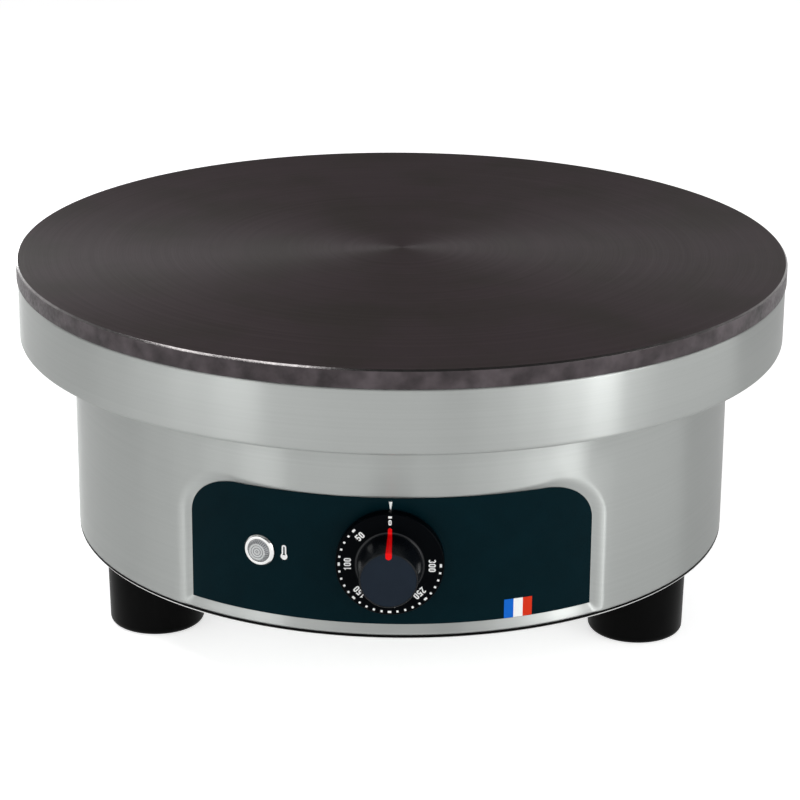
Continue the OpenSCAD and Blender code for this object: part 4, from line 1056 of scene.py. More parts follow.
@dataclass
class ControlPanel:
    """The near-black panel on the recess floor, with its printed marks."""

    recess: RecessForm
    inset: float = 0.3 * MM
    film: float = 0.05 * MM
    thickness: float = 0.55 * MM
    edge: float = 0.12 * MM
    edge_angle: float = 50.0
    rows: int = 24
    corner_columns: int = 20
    columns: int = 48
    print_depth: float = 0.03 * MM
    index_top: float = 105.0 * MM
    index_foot: float = 101.0 * MM
    index_width: float = 1.65 * MM
    index_foot_width: float = 0.6 * MM
    icon_angle: float = -17.7
    icon_middle: float = 74.8 * MM
    icon_height: float = 7.6 * MM
    stripe_left: float = 18.93
    stripe_right: float = 23.85
    stripe_top: float = 51.6 * MM

    @property
    def face(self) -> float:
        """Radius of the panel's printed face."""
        return self.recess.floor_radius + self.film + self.thickness

    def back(self, s: float, z: float) -> float:
        """Works out where the panel's back lies on the pressed sheet.

        Args:
            s: Way round the floor.
            z: Height.

        Returns:
            Its radius.
        """
        form = self.recess
        sheet = form.floor_radius + form.depth - form.sunk(s, z)
        return min(sheet + self.film, self.face - self.film)

    def build(self) -> None:
        """Makes the panel and its prints."""
        panel = place_piece("panel_sheet", self.sheet_mesh(), (PANEL,), Slot.PANEL, nodes=("control_panel",))
        bevel = panel.modifiers.new("edge", "BEVEL")
        bevel.width = self.edge
        bevel.segments = 2
        bevel.limit_method = "ANGLE"
        bevel.angle_limit = math.radians(self.edge_angle)
        self.index_mark()
        self.thermometer()
        self.stripes()

    def sheet_mesh(self) -> Mesh:
        """Makes the panel from columns round the body that end at its rounded outline.

        Returns:
            The mesh.
        """
        form, inset = self.recess, self.inset
        straight = form.half - form.corner_wide
        corner = form.corner_wide - inset
        side = [straight + corner * math.cos(a) for a in evenly(0.0, math.pi / 2, self.corner_columns)[:-1]]
        places = side + evenly(straight, -straight, self.columns) + [-s for s in reversed(side)]
        bm = bmesh.new()
        skins = []
        for front in (False, True):
            grid = []
            for s in places:
                low, high = form.low + inset, form.top_at(s, inset)
                turn = form.turn(s)
                column = []
                for z in evenly(low, high, self.rows):
                    out = self.face if front else self.back(s, z)
                    column.append(bm.verts.new((out * math.sin(turn), -out * math.cos(turn), z)))
                grid.append(column)
            skins.append(grid)
        rear, front = skins
        last = len(places) - 1
        for i in range(last):
            for j in range(self.rows):
                for grid in skins:
                    bm.faces.new((grid[i][j], grid[i + 1][j], grid[i + 1][j + 1], grid[i][j + 1]))
            for j in (0, self.rows):
                bm.faces.new((rear[i][j], rear[i + 1][j], front[i + 1][j], front[i][j]))
        for j in range(self.rows):
            for i in (0, last):
                bm.faces.new((rear[i][j], rear[i][j + 1], front[i][j + 1], front[i][j]))
        return finished(bm, "panel_sheet", sharp=40.0)

    def printed(self, name: str, loops: Sequence[Sequence[Point]], ink: Finish) -> None:
        """Prints a shape on the panel.

        Args:
            name: The piece's name.
            loops: Outlines in metres, round the panel from the front and up from the table.
            ink: Its finish.
        """
        mesh = wrapped(slab(loops, self.print_depth), self.face)
        place_piece(name, mesh, (ink,), Slot.PANEL)

    def index_mark(self) -> None:
        """Prints the wedge that the dial's numbers are set to."""
        top, foot = self.index_width / 2, self.index_foot_width / 2
        outline = [(-top, self.index_top), (-foot, self.index_foot), (foot, self.index_foot),
                   (top, self.index_top)]
        self.printed("index_mark", [outline], INK_WHITE)

    def thermometer(self) -> None:
        """Prints the small thermometer beside the lamp."""
        x = math.radians(self.icon_angle) * self.face
        tall = self.icon_height
        low = self.icon_middle - tall / 2
        bulb, stem, inner, spread = 0.235 * tall, 0.155 * tall, 0.050 * tall, 0.105 * tall
        foot, waist, arch = low + 0.31 * tall, low + 0.43 * tall, low + tall - stem
        meet = math.degrees(math.asin(stem / bulb))
        outer = bow(x, low + bulb, bulb, bulb, 90 + meet, 450 - meet, step=11.5)
        outer += bow(x, arch, stem, stem, 0, 180)
        hollow = [(x - spread, foot), (x + spread, foot), (x + inner, waist)]
        hollow += bow(x, arch, inner, inner, 0, 180)
        hollow.append((x - inner, waist))
        self.printed("thermometer_mark", [outer, hollow], INK_WHITE)

    def stripes(self) -> None:
        """Prints the three coloured stripes at the panel's lower edge."""
        left, right = (math.radians(a) * self.face for a in (self.stripe_left, self.stripe_right))
        low = self.recess.low + self.inset + self.edge
        width = (right - left) / 3
        for k, (name, ink) in enumerate((("blue", INK_BLUE), ("white", INK_WHITE), ("red", INK_RED))):
            across = evenly(left + k * width, left + (k + 1) * width, 4)
            outline = [(x, low) for x in across] + [(x, self.stripe_top) for x in reversed(across)]
            self.printed(f"stripe_{name}", [outline], ink)


@dataclass
class DialKnob:
    """The thermostat's dial: skirt and grip in one moulding, its cap, pointer and printed scale."""

    skirt_edge: float = 0.8 * MM
    skirt_depth: float = 5.8 * MM
    grip_foot: float = 15.6 * MM
    grip_end: float = 13.8 * MM
    grip_fillet: float = 1.2 * MM
    grip_edge: float = 0.35 * MM
    wall: float = 2 * MM
    hub: float = 6 * MM
    bore: float = 3.02 * MM
    inner_edge: float = 0.5 * MM
    cap_radius: float = 13.2 * MM
    cap_depth: float = 1.2 * MM
    cap_edge: float = 0.18 * MM
    cap_gap: float = 0.04 * MM
    cap_sunk: float = 0.05 * MM
    dot_ring: float = 24.3 * MM
    dot: float = 1.05 * MM
    long_dot: float = 1.75 * MM
    dot_tall: float = 1.092 * MM
    dot_rounding: float = 0.18 * MM
    number_ring: float = 20.2 * MM
    nought_ring: float = 21.6 * MM
    nought_size: float = 0.80
    digit_height: float = 3.5 * MM
    digit_width: float = 1.85 * MM
    digit_step: float = 2.25 * MM
    digit_stroke: float = 0.66 * MM
    print_depth: float = 0.03 * MM
    tip_width: float = 1.9 * MM
    tip_radius: float = 18.9 * MM
    root_width: float = 3.1 * MM
    root_radius: float = 10.5 * MM
    pointer_least: float = 0.12 * MM
    pointer_proud: float = 0.24 * MM
    pointer_deep: float = 0.8 * MM
    pointer_points: int = 56
    first_value: int = 50
    last_value: int = 300
    degrees_per_unit: float = 0.9
    value_step: int = 10
    number_step: int = 50

    def build(self) -> None:
        """Makes the knob's pieces."""
        low, high = node_box("dial_knob")
        self.end, self.back = -low.y, -high.y
        self.face = self.back + self.skirt_depth
        self.skirt = (high.x - low.x) / 2
        self.place = outward(0.0, (low.z + high.z) / 2)
        self.moulding()
        self.cap()
        self.pointer()
        self.scale()

    def moulding(self) -> None:
        """Makes the hollow moulding of skirt and grip; the grip's lighter, glossier finish is painted light.
        """
        shelf, inside = self.end - self.cap_depth, self.face - self.wall
        seat, rim = self.cap_radius + self.cap_gap, self.skirt - self.wall
        outline = rounded([
            (self.bore, self.back, 0.2 * MM), (self.hub, self.back, 0.3 * MM),
            (self.hub, shelf - self.wall, 0),
            (self.grip_end - self.wall, shelf - self.wall, self.inner_edge),
            (self.grip_foot - self.wall, inside, self.inner_edge), (rim, inside, self.inner_edge),
            (rim, self.back, 0.2 * MM), (self.skirt, self.back, 0.25 * MM),
            (self.skirt, self.face, self.skirt_edge),
            (self.grip_foot, self.face, self.grip_fillet), (self.grip_end, self.end, self.grip_edge),
            (seat, self.end, 0.12 * MM), (seat, shelf, 0), (self.bore, shelf, 0)])
        mesh = lathe(outline)
        # The grip and its fillet take the lighter, glossier copy of the plastic as painted light; the skirt
        # keeps the darker one as painted shade.
        for polygon in mesh.polygons:
            radius = math.hypot(polygon.center.x, polygon.center.y)
            polygon.material_index = 1 if radius < self.grip_foot + self.grip_fillet else 0
        place_piece("dial_moulding", mesh, (KNOB, GRIP_LIT), Slot.KNOB, Body.DIAL, ("dial_knob",), self.place)

    def cap(self) -> None:
        """Makes the disc in the end of the grip."""
        foot, head = self.end - self.cap_depth, self.end - self.cap_sunk
        outline = rounded([(0, foot, 0), (self.cap_radius, foot, 0), (self.cap_radius, head, self.cap_edge),
                           (0, head, 0)], closed=False)
        mesh = lathe(outline, closed=False)
        place_piece("grip_cap", mesh, (CAP,), Slot.CAP, Body.DIAL, ("knob_cap",), self.place)

    def pointer(self) -> None:
        """Makes the red strip over skirt, grip and cap, with rounded ends and a crowned face."""
        proud, deep = self.pointer_proud, self.pointer_deep
        across = ((-1, -deep), (-1, proud * 0.45), (-0.8, proud * 0.8), (-0.4, proud), (0, proud),
                  (0.4, proud), (0.8, proud * 0.8), (1, proud * 0.45), (1, -deep))
        path = rounded([(self.tip_radius, self.face, 0), (self.grip_foot, self.face, self.grip_fillet),
                        (self.grip_end, self.end, self.grip_edge), (self.root_radius, self.end, 0)],
                       steps=8, closed=False)
        path = self.spaced(path, self.pointer_points)
        total = self.length(path)
        bm = bmesh.new()
        rings = []
        walked = 0.0
        for i, (r, out) in enumerate(path):
            walked += math.dist(path[i - 1], path[i]) if i else 0.0
            before, after = path[max(i - 1, 0)], path[min(i + 1, len(path) - 1)]
            along = Vector((after[0] - before[0], after[1] - before[1])).normalized()
            normal = Vector((-along.y, along.x)) * -1
            half = (self.tip_width + (self.root_width - self.tip_width) * walked / total) / 2
            over = max(0.0, half - min(walked, total - walked))
            half = max(self.pointer_least / 2, math.sqrt(max(0.0, half * half - over * over)))
            rings.append([bm.verts.new((side * half, r + normal.x * lift, out + normal.y * lift))
                          for side, lift in across])
        for low, high in zip(rings, rings[1:]):
            bridge(bm, low, high)
        bm.faces.new(rings[0])
        bm.faces.new(rings[-1])
        mesh = finished(bm, "pointer", sharp=50.0)
        place_piece("dial_pointer", mesh, (POINTER,), Slot.POINTER, Body.DIAL, ("knob_pointer",), self.place)

    def length(self, path: Sequence[Point]) -> float:
        """Returns the length of a path."""
        return sum(math.dist(a, b) for a, b in zip(path, path[1:]))

    def spaced(self, path: Sequence[Point], count: int) -> list[Point]:
        """Spreads points evenly along a path.

        Args:
            path: The path.
            count: Number of points.

        Returns:
            The points, with both of the path's ends.
        """
        points, walked, i = [], 0.0, 0
        for goal in evenly(0.0, self.length(path), count - 1):
            while i < len(path) - 2 and walked + math.dist(path[i], path[i + 1]) < goal:
                walked += math.dist(path[i], path[i + 1])
                i += 1
            share = min(1.0, (goal - walked) / math.dist(path[i], path[i + 1]))
            points.append(tuple(a + (b - a) * share for a, b in zip(path[i], path[i + 1])))
        return points

    def scale(self) -> None:
        """Prints the dots and numbers of the dial."""
        parts = []
        for value in range(self.first_value, self.last_value + 1, self.value_step):
            numbered = value % self.number_step == 0
            turn = math.radians(value * self.degrees_per_unit)
            width = self.long_dot if numbered else self.dot
            parts.append((self.mark(width), self.on_dial(turn, self.dot_ring)))
            if numbered:
                parts += self.number(str(value), self.on_dial(turn, self.number_ring))
        parts.append((self.mark(self.long_dot), self.on_dial(0.0, self.dot_ring)))
        small = Matrix.Diagonal((self.nought_size, self.nought_size, 1.0, 1.0))
        parts += self.number("0", self.on_dial(0.0, self.nought_ring) @ small)
        place_piece("dial_scale", joined(parts, "scale"), (INK_WHITE,), Slot.KNOB, Body.DIAL,
                    place=self.place)

    def number(self, digits: str, place: Matrix) -> Iterable[tuple[Mesh, Matrix]]:
        """Yields the strokes of a number.

        Args:
            digits: The number's digits.
            place: Where the number's middle lies.

        Returns:
            Each stroke's mesh with its placing.
        """
        for k, digit in enumerate(digits):
            shift = Matrix.Translation(((k - (len(digits) - 1) / 2) * self.digit_step, 0.0, 0.0))
            for path, closed in self.digit_paths(digit):
                yield stroke(path, self.digit_stroke, self.print_depth, closed), place @ shift

    def digit_paths(self, digit: str) -> list[tuple[list[Point], bool]]:
        """Draws one digit about its middle. The scale has only 0, 1, 2, 3 and 5, the last shape here.

        Args:
            digit: The digit.

        Returns:
            Its strokes, each with whether it closes.
        """
        end = self.digit_stroke / 2
        a, b = self.digit_width / 2 - end, self.digit_height / 2 - end
        if digit == "0":
            return [(bow(0, b - a, a, a, 0, 180) + bow(0, a - b, a, a, 180, 360), True)]
        if digit == "1":
            return [([(-0.8 * a, 0.55 * b), (0.25 * a, b), (0.25 * a, -b - end)], False)]
        if digit == "2":
            return [(bow(0, b - a, a, a, 170, -30) + [(-a, -b), (a + end, -b)], False)]
        if digit == "3":
            return [(bow(0, b / 2, a, b / 2, 155, -90), False), (bow(0, -b / 2, a, b / 2, 90, -155), False)]
        flag = [(a + end, b), (-0.8 * a, b), (-0.9 * a, 0.05 * b)]
        return [(flag + bow(0, -0.4 * b, a, 0.6 * b, 125, -155), False)]

    def mark(self, width: float) -> Mesh:
        """Makes one mark of the scale.

        Args:
            width: Its width.

        Returns:
            The mark's mesh.
        """
        x, y, r = width / 2, self.dot_tall / 2, self.dot_rounding
        loop = rounded([(-x, -y, r), (x, -y, r), (x, y, r), (-x, y, r)], steps=3)
        return slab([loop], self.print_depth)

    def on_dial(self, turn: float, radius: float) -> Matrix:
        """Returns the placing of a mark, counter-clockwise from the top, its head outwards."""
        return Matrix.Rotation(turn, 4, "Z") @ Matrix.Translation((0.0, radius, self.face))


@dataclass
class PilotLamp:
    """The pilot lamp: chromed bezel and a proud lens with a ribbed flank and a ringed face."""

    angle: float = -22.0
    bezel: float = 8.0 * MM
    bezel_side: float = 0.7 * MM
    bezel_slope: float = 0.9 * MM
    bezel_lip: float = 0.45 * MM
    barrel: float = 6.2 * MM
    crest: float = 1.7 * MM
    depth: float = 5.0 * MM
    wall: float = 0.3 * MM
    gap: float = 0.02 * MM
    slack: float = 0.02 * MM
    dish: float = 1.4 * MM
    dish_depth: float = 1.2 * MM
    dish_back: float = 1.8 * MM
    lens_gap: float = 0.06 * MM
    lens_foot: float = 5.4 * MM
    lens_face: float = 4.2 * MM
    lens_seat: float = 0.3 * MM
    lens_rise: float = 3.4 * MM
    flank_drop: float = 0.55 * MM
    flank_step: float = 0.05 * MM
    ribs: int = 28
    rib_steps: int = 6
    rib_depth: float = 0.20 * MM
    # Where the ribs' wave falls below rib_groove, or the face rings' wave rises above ring_groove, the lens
    # takes its dark finish of painted shade.
    rib_groove: float = -0.5
    face_flat: float = 0.90
    face_rings: int = 3
    ring_share: float = 0.88
    ring_depth: float = 0.16 * MM
    ring_points: int = 8
    ring_groove: float = 0.8

    def build(self, panel: ControlPanel) -> None:
        """Makes the lamp on the panel.

        Args:
            panel: The panel that it is let into.
        """
        low, high = node_box("pilot_lamp_bezel")
        self.place = outward(self.angle, (low.z + high.z) / 2)
        self.seat = panel.face + self.gap
        self.flank = self.seat + self.crest - self.flank_drop
        self.bezel_ring()
        self.reflector()
        self.lens()

    def bezel_ring(self) -> None:
        """Makes the rounded chromed ring with the barrel behind it."""
        seat, crest, back = self.seat, self.seat + self.crest, self.seat - self.depth
        bore = self.lens_foot + self.lens_gap
        ring = rounded([(bore - self.wall, back, 0), (self.barrel, back, 0), (self.barrel, seat, 0),
                        (self.bezel, seat, 0.15 * MM), (self.bezel, seat + self.bezel_side, 0.5 * MM),
                        (self.bezel - self.bezel_slope, crest, 0.7 * MM),
                        (bore + self.bezel_lip, crest, 0.35 * MM),
                        (bore, crest - self.bezel_slope, 0.1 * MM), (bore, seat + 0.2 * MM, 0),
                        (bore - self.wall, seat, 0)])
        place_piece("lamp_bezel", lathe(ring, 128), (CHROME,), Slot.CHROME, nodes=("pilot_lamp_bezel",),
                    place=self.place)

    def reflector(self) -> None:
        """Makes the pale dish behind the lens."""
        rim, floor, back = self.lens_foot - self.wall, self.seat - self.dish_depth, self.seat - self.dish_back
        cup = rounded([(0, floor, 0), (self.dish, floor, 0.2 * MM), (rim, self.seat + 0.1 * MM, 0),
                       (rim, back, 0), (0, back, 0)], closed=False)
        place_piece("lamp_reflector", lathe(cup, 96, closed=False), (REFLECTOR,), Slot.LENS, place=self.place)

    def lens(self) -> None:
        """Makes the lens: a ribbed cone frustum with ridged rings on its face."""
        foot, face = self.seat + self.lens_seat, self.seat + self.lens_rise
        outline = [(0, foot), (self.lens_foot, foot), (self.lens_foot, self.flank - self.flank_step)]
        outline += rounded([(self.lens_foot - self.flank_step, self.flank + self.flank_step, 0),
                            (self.lens_face, face, 0.3 * MM), (self.lens_face * self.face_flat, face, 0)],
                           closed=False)
        steps = self.face_rings * self.ring_points
        for k in range(steps + 1):
            radius = self.lens_face * self.ring_share * (1 - k / steps)
            outline.append((radius, face - self.ring_depth * math.sin(math.pi * k / self.ring_points) ** 2))
        mesh = lathe(outline, self.ribs * self.rib_steps, closed=False, ripple=self.ribbed)
        # The grooves of flank and face take the dark finish of painted shade.
        for polygon in mesh.polygons:
            polygon.material_index = self.part_of_lens(polygon.center, face)
        place_piece("lamp_lens", mesh, (LENS_FACE, LENS, LENS_GROOVE_SHADE), Slot.LENS, nodes=("pilot_lamp_lens",),
                    place=self.place)

    def part_of_lens(self, middle: Vector, face: float) -> int:
        """Tells which part of the lens a point lies on.

        Args:
            middle: A point of the lens.
            face: Height of its face.

        Returns:
            The number of the finish: 0 on the face, 1 on the flank and 2 in a groove of either, whose dark
                finish is painted shade.
        """
        if middle.z < self.flank:
            return 1
        if middle.z < face - self.ring_depth - self.slack:
            wave = math.cos(math.atan2(middle.y, middle.x) * self.ribs)
            return 2 if wave < self.rib_groove else 1
        share = 1 - math.hypot(middle.x, middle.y) / (self.lens_face * self.ring_share)
        return 2 if share > 0 and math.sin(math.pi * share * self.face_rings) ** 2 > self.ring_groove else 0

    def ribbed(self, angle: float, radius: float, height: float) -> float:
        """Cuts the ribs into the flank.

        Args:
            angle: Direction in radians.
            radius: Radius without the ribs.
            height: Height.

        Returns:
            The radius with them.
        """
        if height < self.flank or radius < self.lens_face * (1 + self.face_flat) / 2:
            return radius
        return radius - self.rib_depth * (0.5 - 0.5 * math.cos(angle * self.ribs))


@dataclass
class Foot:
    """One round foot with the well for its screw."""

    node: str
    well: float = 10 * MM
    well_top: float = 25.7 * MM
    hole: float = 3.25 * MM
    taper: float = 0.7 * MM
    foot_edge: float = 3.4 * MM
    top_edge: float = 1.0 * MM

    def build(self) -> None:
        """Makes the foot where its node stands."""
        low, high = node_box(self.node)
        top_radius = (high.x - low.x) / 2
        outline = rounded([
            (self.hole, self.well_top, 0), (self.well, self.well_top, 0.6 * MM), (self.well, 0, 0.8 * MM),
            (top_radius - self.taper, 0, self.foot_edge), (top_radius, high.z, self.top_edge),
            (self.hole, high.z, 0)])
        place = Matrix.Translation(((low.x + high.x) / 2, (low.y + high.y) / 2, 0))
        place_piece(f"{self.node}_moulding", lathe(outline, 128), (RUBBER,), Slot.RUBBER, nodes=(self.node,),
                    place=place)


@dataclass
class BasePlate:
    """The base plate with its ventilation slots and screw holes, and a lipped dark ring on its rim: painted
    shadow in the seam.
    """

    foot_angles: tuple[float, ...] = (-60.0, 60.0, REAR)
    screw_angles: tuple[float, ...] = (-30.0, 30.0, 90.0, 150.0, 210.0, 270.0)
    foot_ring: float = 142.96 * MM
    foot_hole: float = 3.25 * MM
    screw_ring: float = 162.28 * MM
    screw_hole: float = 2.75 * MM
    vent_length: float = 34 * MM
    vent_width: float = 5 * MM
    vent_ring: float = 92 * MM
    rear_vent_ring: float = 62 * MM
    vent_step: float = 8.0
    vents_beside: int = 2
    edge: float = 0.15 * MM
    # The rim's faces show the cut sheet where their normals rise or fall by less than this.
    cut_normal: float = 0.9
    # The dark rubber ring made below paints the shadow in the seam between body and plate, where the real
    # seam is only a shadow gap.
    seal_height: float = 0.55 * MM
    seal_width: float = 2.0 * MM
    seal_inset: float = 0.1 * MM
    seal_gap: float = 0.05 * MM
    seal_lip: float = 0.45 * MM

    def around(self, angle: float, radius: float, x: float = 0.0, y: float = 0.0) -> Point:
        """Finds a point near a place on a ring.

        Args:
            angle: Direction of the place in degrees.
            radius: The ring's radius.
            x: How far the point is outwards from the place.
            y: How far it is sideways.

        Returns:
            The point on the plate.
        """
        turn = math.radians(angle)
        out = radius + x
        return (out * math.sin(turn) + y * math.cos(turn), -out * math.cos(turn) + y * math.sin(turn))

    def slot_loop(self, angle: float, radius: float) -> list[Point]:
        """Draws one ventilation slot.

        Args:
            angle: Its direction in degrees.
            radius: Radius of its middle.

        Returns:
            Its outline.
        """
        half, r = self.vent_length / 2, self.vent_width / 2
        end = 2 * ROUNDED_PART * r
        corners = rounded([(-half, -r, end), (half, -r, end), (half, r, end), (-half, r, end)])
        return [self.around(angle, radius, x, y) for x, y in corners]

    def build(self) -> None:
        """Makes the plate and the dark ring of painted shadow round it."""
        low, high = node_box("base_plate")
        loops = [circle(high.x, 360)]
        for angle in self.foot_angles:
            loops.append(circle(self.foot_hole, 32, *self.around(angle, self.foot_ring)))
            ring = self.rear_vent_ring if angle == REAR else self.vent_ring
            for k in range(-self.vents_beside, self.vents_beside + 1):
                loops.append(self.slot_loop(angle + k * self.vent_step, ring))
        for angle in self.screw_angles:
            loops.append(circle(self.screw_hole, 32, *self.around(angle, self.screw_ring)))
        mesh = slab(loops, high.z - low.z, self.edge)
        for polygon in mesh.polygons:
            rim = Vector(polygon.center[:2]).length > high.x - 2 * self.edge
            polygon.material_index = 1 if rim and abs(polygon.normal.z) < self.cut_normal else 0
        place_piece("vented_base", mesh, (STEEL, CUT_EDGE), Slot.STEEL, nodes=("base_plate",),
                    place=Matrix.Translation((0, 0, low.z)))
        # Painted shadow: a dark ring in the seam under the body.
        self.seal(high)

    def seal(self, rim: Vector) -> None:
        """Makes the dark rubber ring round the plate, painted shadow in the seam under the body.

        Args:
            rim: The highest corner of the plate's box.
        """
        outer = node_box("body_shell")[1].x - self.seal_inset
        inner, drop, top = rim.x + self.seal_gap, rim.z - self.seal_lip, rim.z + self.seal_height
        middle = outer - self.seal_width
        outline = rounded([(middle, rim.z, 0), (inner, rim.z, 0), (inner, drop, 0), (outer, drop, 0.1 * MM),
                           (outer, top, 0.2 * MM), (middle, top, 0)])
        # Painted shadow: a dark ring where the real seam is only a shadow gap.
        place_piece("base_shadow_ring", lathe(outline, 360), (RUBBER,), Slot.RUBBER)


@dataclass
class HexNut:
    """A hexagon collar or pressed nut on a screw: half its width across corners, and its two heights."""

    across: float
    low: float
    high: float
    edge: float = 0.25 * MM

    def part(self) -> tuple[Mesh, Matrix]:
        """Returns its mesh with its placing on the screw."""
        mesh = slab([circle(self.across, 6)], self.high - self.low, self.edge)
        return mesh, Matrix.Translation((0, 0, self.low))


@dataclass
class ScrewSet:
    """Cross-recessed pan-head screws, heads down, all alike.

    The growths are parts of the shank's radius and the shares parts of the head's. The rounding and
    the cross's depth are parts of the head's height.
    """

    node: str
    places: Sequence[Point]
    shank: float
    head_top: float
    nut: Optional[HexNut] = None
    slot: Slot = Slot.ZINC
    finish: Finish = ZINC
    head_growth: float = 1.8
    head_rounding: float = 0.55
    tip_growth: float = 0.8
    tip_length: float = 0.8 * MM
    arm_share: float = 0.58
    slot_share: float = 0.13
    cross_depth: float = 0.7

    def build(self) -> None:
        """Makes the screws, each with its nut if it has one."""
        low, high = node_box(self.node)
        radius, tip, head = self.shank * self.head_growth, high.z, self.head_top - low.z
        outline = rounded([(0, tip, 0), (self.shank * self.tip_growth, tip, 0),
                           (self.shank, tip - self.tip_length, 0), (self.shank, self.head_top, 0),
                           (radius, self.head_top, 0.1 * MM), (radius, low.z, head * self.head_rounding),
                           (0, low.z, 0)], closed=False)
        screw = lathe(outline, 48, closed=False)
        parts = [(self.recessed(screw, low.z, radius, head * self.cross_depth), Matrix.Identity(4))]
        if self.nut:
            parts.append(self.nut.part())
        one = joined(parts, "screw")
        mesh = joined([(one, Matrix.Translation((x, y, 0))) for x, y in self.places], self.node)
        place_piece(f"{self.node}_cross", mesh, (self.finish,), self.slot, nodes=(self.node,))

    def recessed(self, screw: Mesh, foot: float, radius: float, deep: float) -> Mesh:
        """Cuts the cross into a screw's head.

        Args:
            screw: The screw's mesh.
            foot: Height of the head's face.
            radius: The head's radius.
            deep: The cross's depth.

        Returns:
            The cut mesh.
        """
        arm, half = radius * self.arm_share, radius * self.slot_share
        cross = [(-half, -arm), (half, -arm), (half, -half), (arm, -half), (arm, half), (half, half),
                 (half, arm), (-half, arm), (-half, half), (-arm, half), (-arm, -half), (-half, -half)]
        cutter = new_object("cutter", slab([cross], deep * 2))
        cutter.data.transform(Matrix.Translation((0, 0, foot - deep)))
        holder = new_object("holder", screw)
        cut = holder.modifiers.new("cross", "BOOLEAN")
        cut.object = cutter
        cut.solver = "EXACT"
        result = applied(holder)
        bpy.data.objects.remove(cutter)
        return result


@dataclass
class CableGland:
    """The cable entry at the rear: hexagon body, fluted cap nut and rubber seal."""

    corner_radius: float = 12.7 * MM
    hexagon: float = 5 * MM
    hexagon_edge: float = 0.5 * MM
    body_bore: float = 5.6 * MM
    thread: float = 8 * MM
    thread_overlap: float = 1 * MM
    cap_length: float = 14 * MM
    cap_radius: float = 10.4 * MM
    cap_bore: float = 6.4 * MM
    cap_edge: float = 0.8 * MM
    cap_shoulder: float = 8.6 * MM
    cap_cone: float = 3.2 * MM
    bore: float = 4.6 * MM
    seal_gap: float = 0.05 * MM
    flutes: int = 16
    flute_steps: int = 12
    flute_depth: float = 0.35 * MM
    flute_start: float = 0.1
    flute_end: float = 0.66

    def build(self) -> None:
        """Makes the gland's pieces."""
        low, high = node_box("cable_gland")
        wall = high.y - self.hexagon
        place = outward(REAR, (low.z + high.z) / 2)
        self.start = high.y
        self.body(place, low.y, wall)
        start, end = self.start, self.start + self.cap_length
        cap = lathe(rounded([
            (self.cap_bore, start, 0), (self.cap_radius - self.cap_edge, start, 0.3 * MM),
            (self.cap_radius, start + 1.2 * MM, 0.4 * MM),
            (self.cap_radius - 0.3 * MM, start + self.cap_shoulder, 0.8 * MM),
            (self.cap_radius - self.cap_cone, end, 1.4 * MM), (self.cap_bore, end, 0.3 * MM)],
            steps=8), self.flutes * self.flute_steps, ripple=self.fluted)
        place_piece("gland_cap", cap, (NYLON,), Slot.NYLON, nodes=("gland_cap_nut",), place=place)
        outer, foot = self.cap_bore - self.seal_gap, start + 0.4 * MM
        seal = lathe(rounded([(self.bore, foot, 0.3 * MM), (outer, foot, 0),
                              (outer, end - 1.2 * MM, 0.4 * MM), (self.bore, end - 0.9 * MM, 0.5 * MM)]), 64)
        place_piece("gland_seal", seal, (RUBBER,), Slot.NYLON, place=place)

    def body(self, place: Matrix, inside: float, wall: float) -> None:
        """Makes the hexagon with its thread.

        Args:
            place: The gland's placing.
            inside: Where the thread ends inside the casing.
            wall: Where the hexagon meets the casing.
        """
        loops = [circle(self.corner_radius, 6), circle(self.body_bore)]
        hexagon = slab(loops, self.hexagon, self.hexagon_edge)
        root = wall + self.thread_overlap
        thread = lathe(rounded([(self.body_bore, inside, 0), (self.thread, inside, 0.5 * MM),
                                (self.thread, root, 0), (self.body_bore, root, 0)]), 64)
        body = joined([(hexagon, place @ Matrix.Translation((0, 0, wall))), (thread, place)], "gland_body")
        place_piece("gland_body", body, (NYLON,), Slot.NYLON, nodes=("cable_gland",))

    def fluted(self, angle: float, radius: float, height: float) -> float:
        """Cuts the flutes into the cap nut.

        Args:
            angle: Direction in radians.
            radius: Radius without the flutes.
            height: Height.

        Returns:
            The radius with them.
        """
        share = (height - self.start) / self.cap_length
        if radius < self.thread or not self.flute_start <= share <= self.flute_end:
            return radius
        return radius - self.flute_depth * max(0.0, math.cos(angle * self.flutes)) ** 0.5


class InnerWorks:
    """Everything inside the casing that keeps its solids."""

    FINISHES: tuple[tuple[Finish, tuple[str, ...]], ...] = (
        (SHEATH, ("element_inner", "element_middle", "element_outer")),
        (ZINC, ("clamp_bars", "plate_studs", "clamp_screws", "clamp_nuts", "tie_nuts", "bulb_clip",
                "bulb_clip_screws", "casing_screws", "casing_nuts", "thermostat_spindle", "thermostat_screws",
                "pilot_lamp_nut", "base_nuts", "foot_washers", "foot_nuts")),
        (FIBRE, ("insulation_blanket",)),
        (SHIELD, ("heat_shield",)),
        (CERAMIC, ("tail_bushes", "thermostat_body", "terminal_block")),
        (BRASS, ("bus_bars", "tail_nuts", "terminal_screws")),
        (COPPER, ("sensor_bulb", "capillary")),
        (NYLON, ("pilot_lamp_holder", "limit_switch", "gland_locknut")),
        (LIVE, ("live_leads",)),
        (NEUTRAL, ("neutral_leads",)),
        (EARTH, ("earth_lead",)),
    )

    def dress(self) -> None:
        """Gives each node its finish."""
        for finish, nodes in self.FINISHES:
            for node in nodes:
                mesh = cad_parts[node].data
                mesh.materials.clear()
                mesh.materials.append(finish.material())
                log.info("%s: %s", node, finish.name)


# ---------------------------------------------------------------------------------------------
# Studio


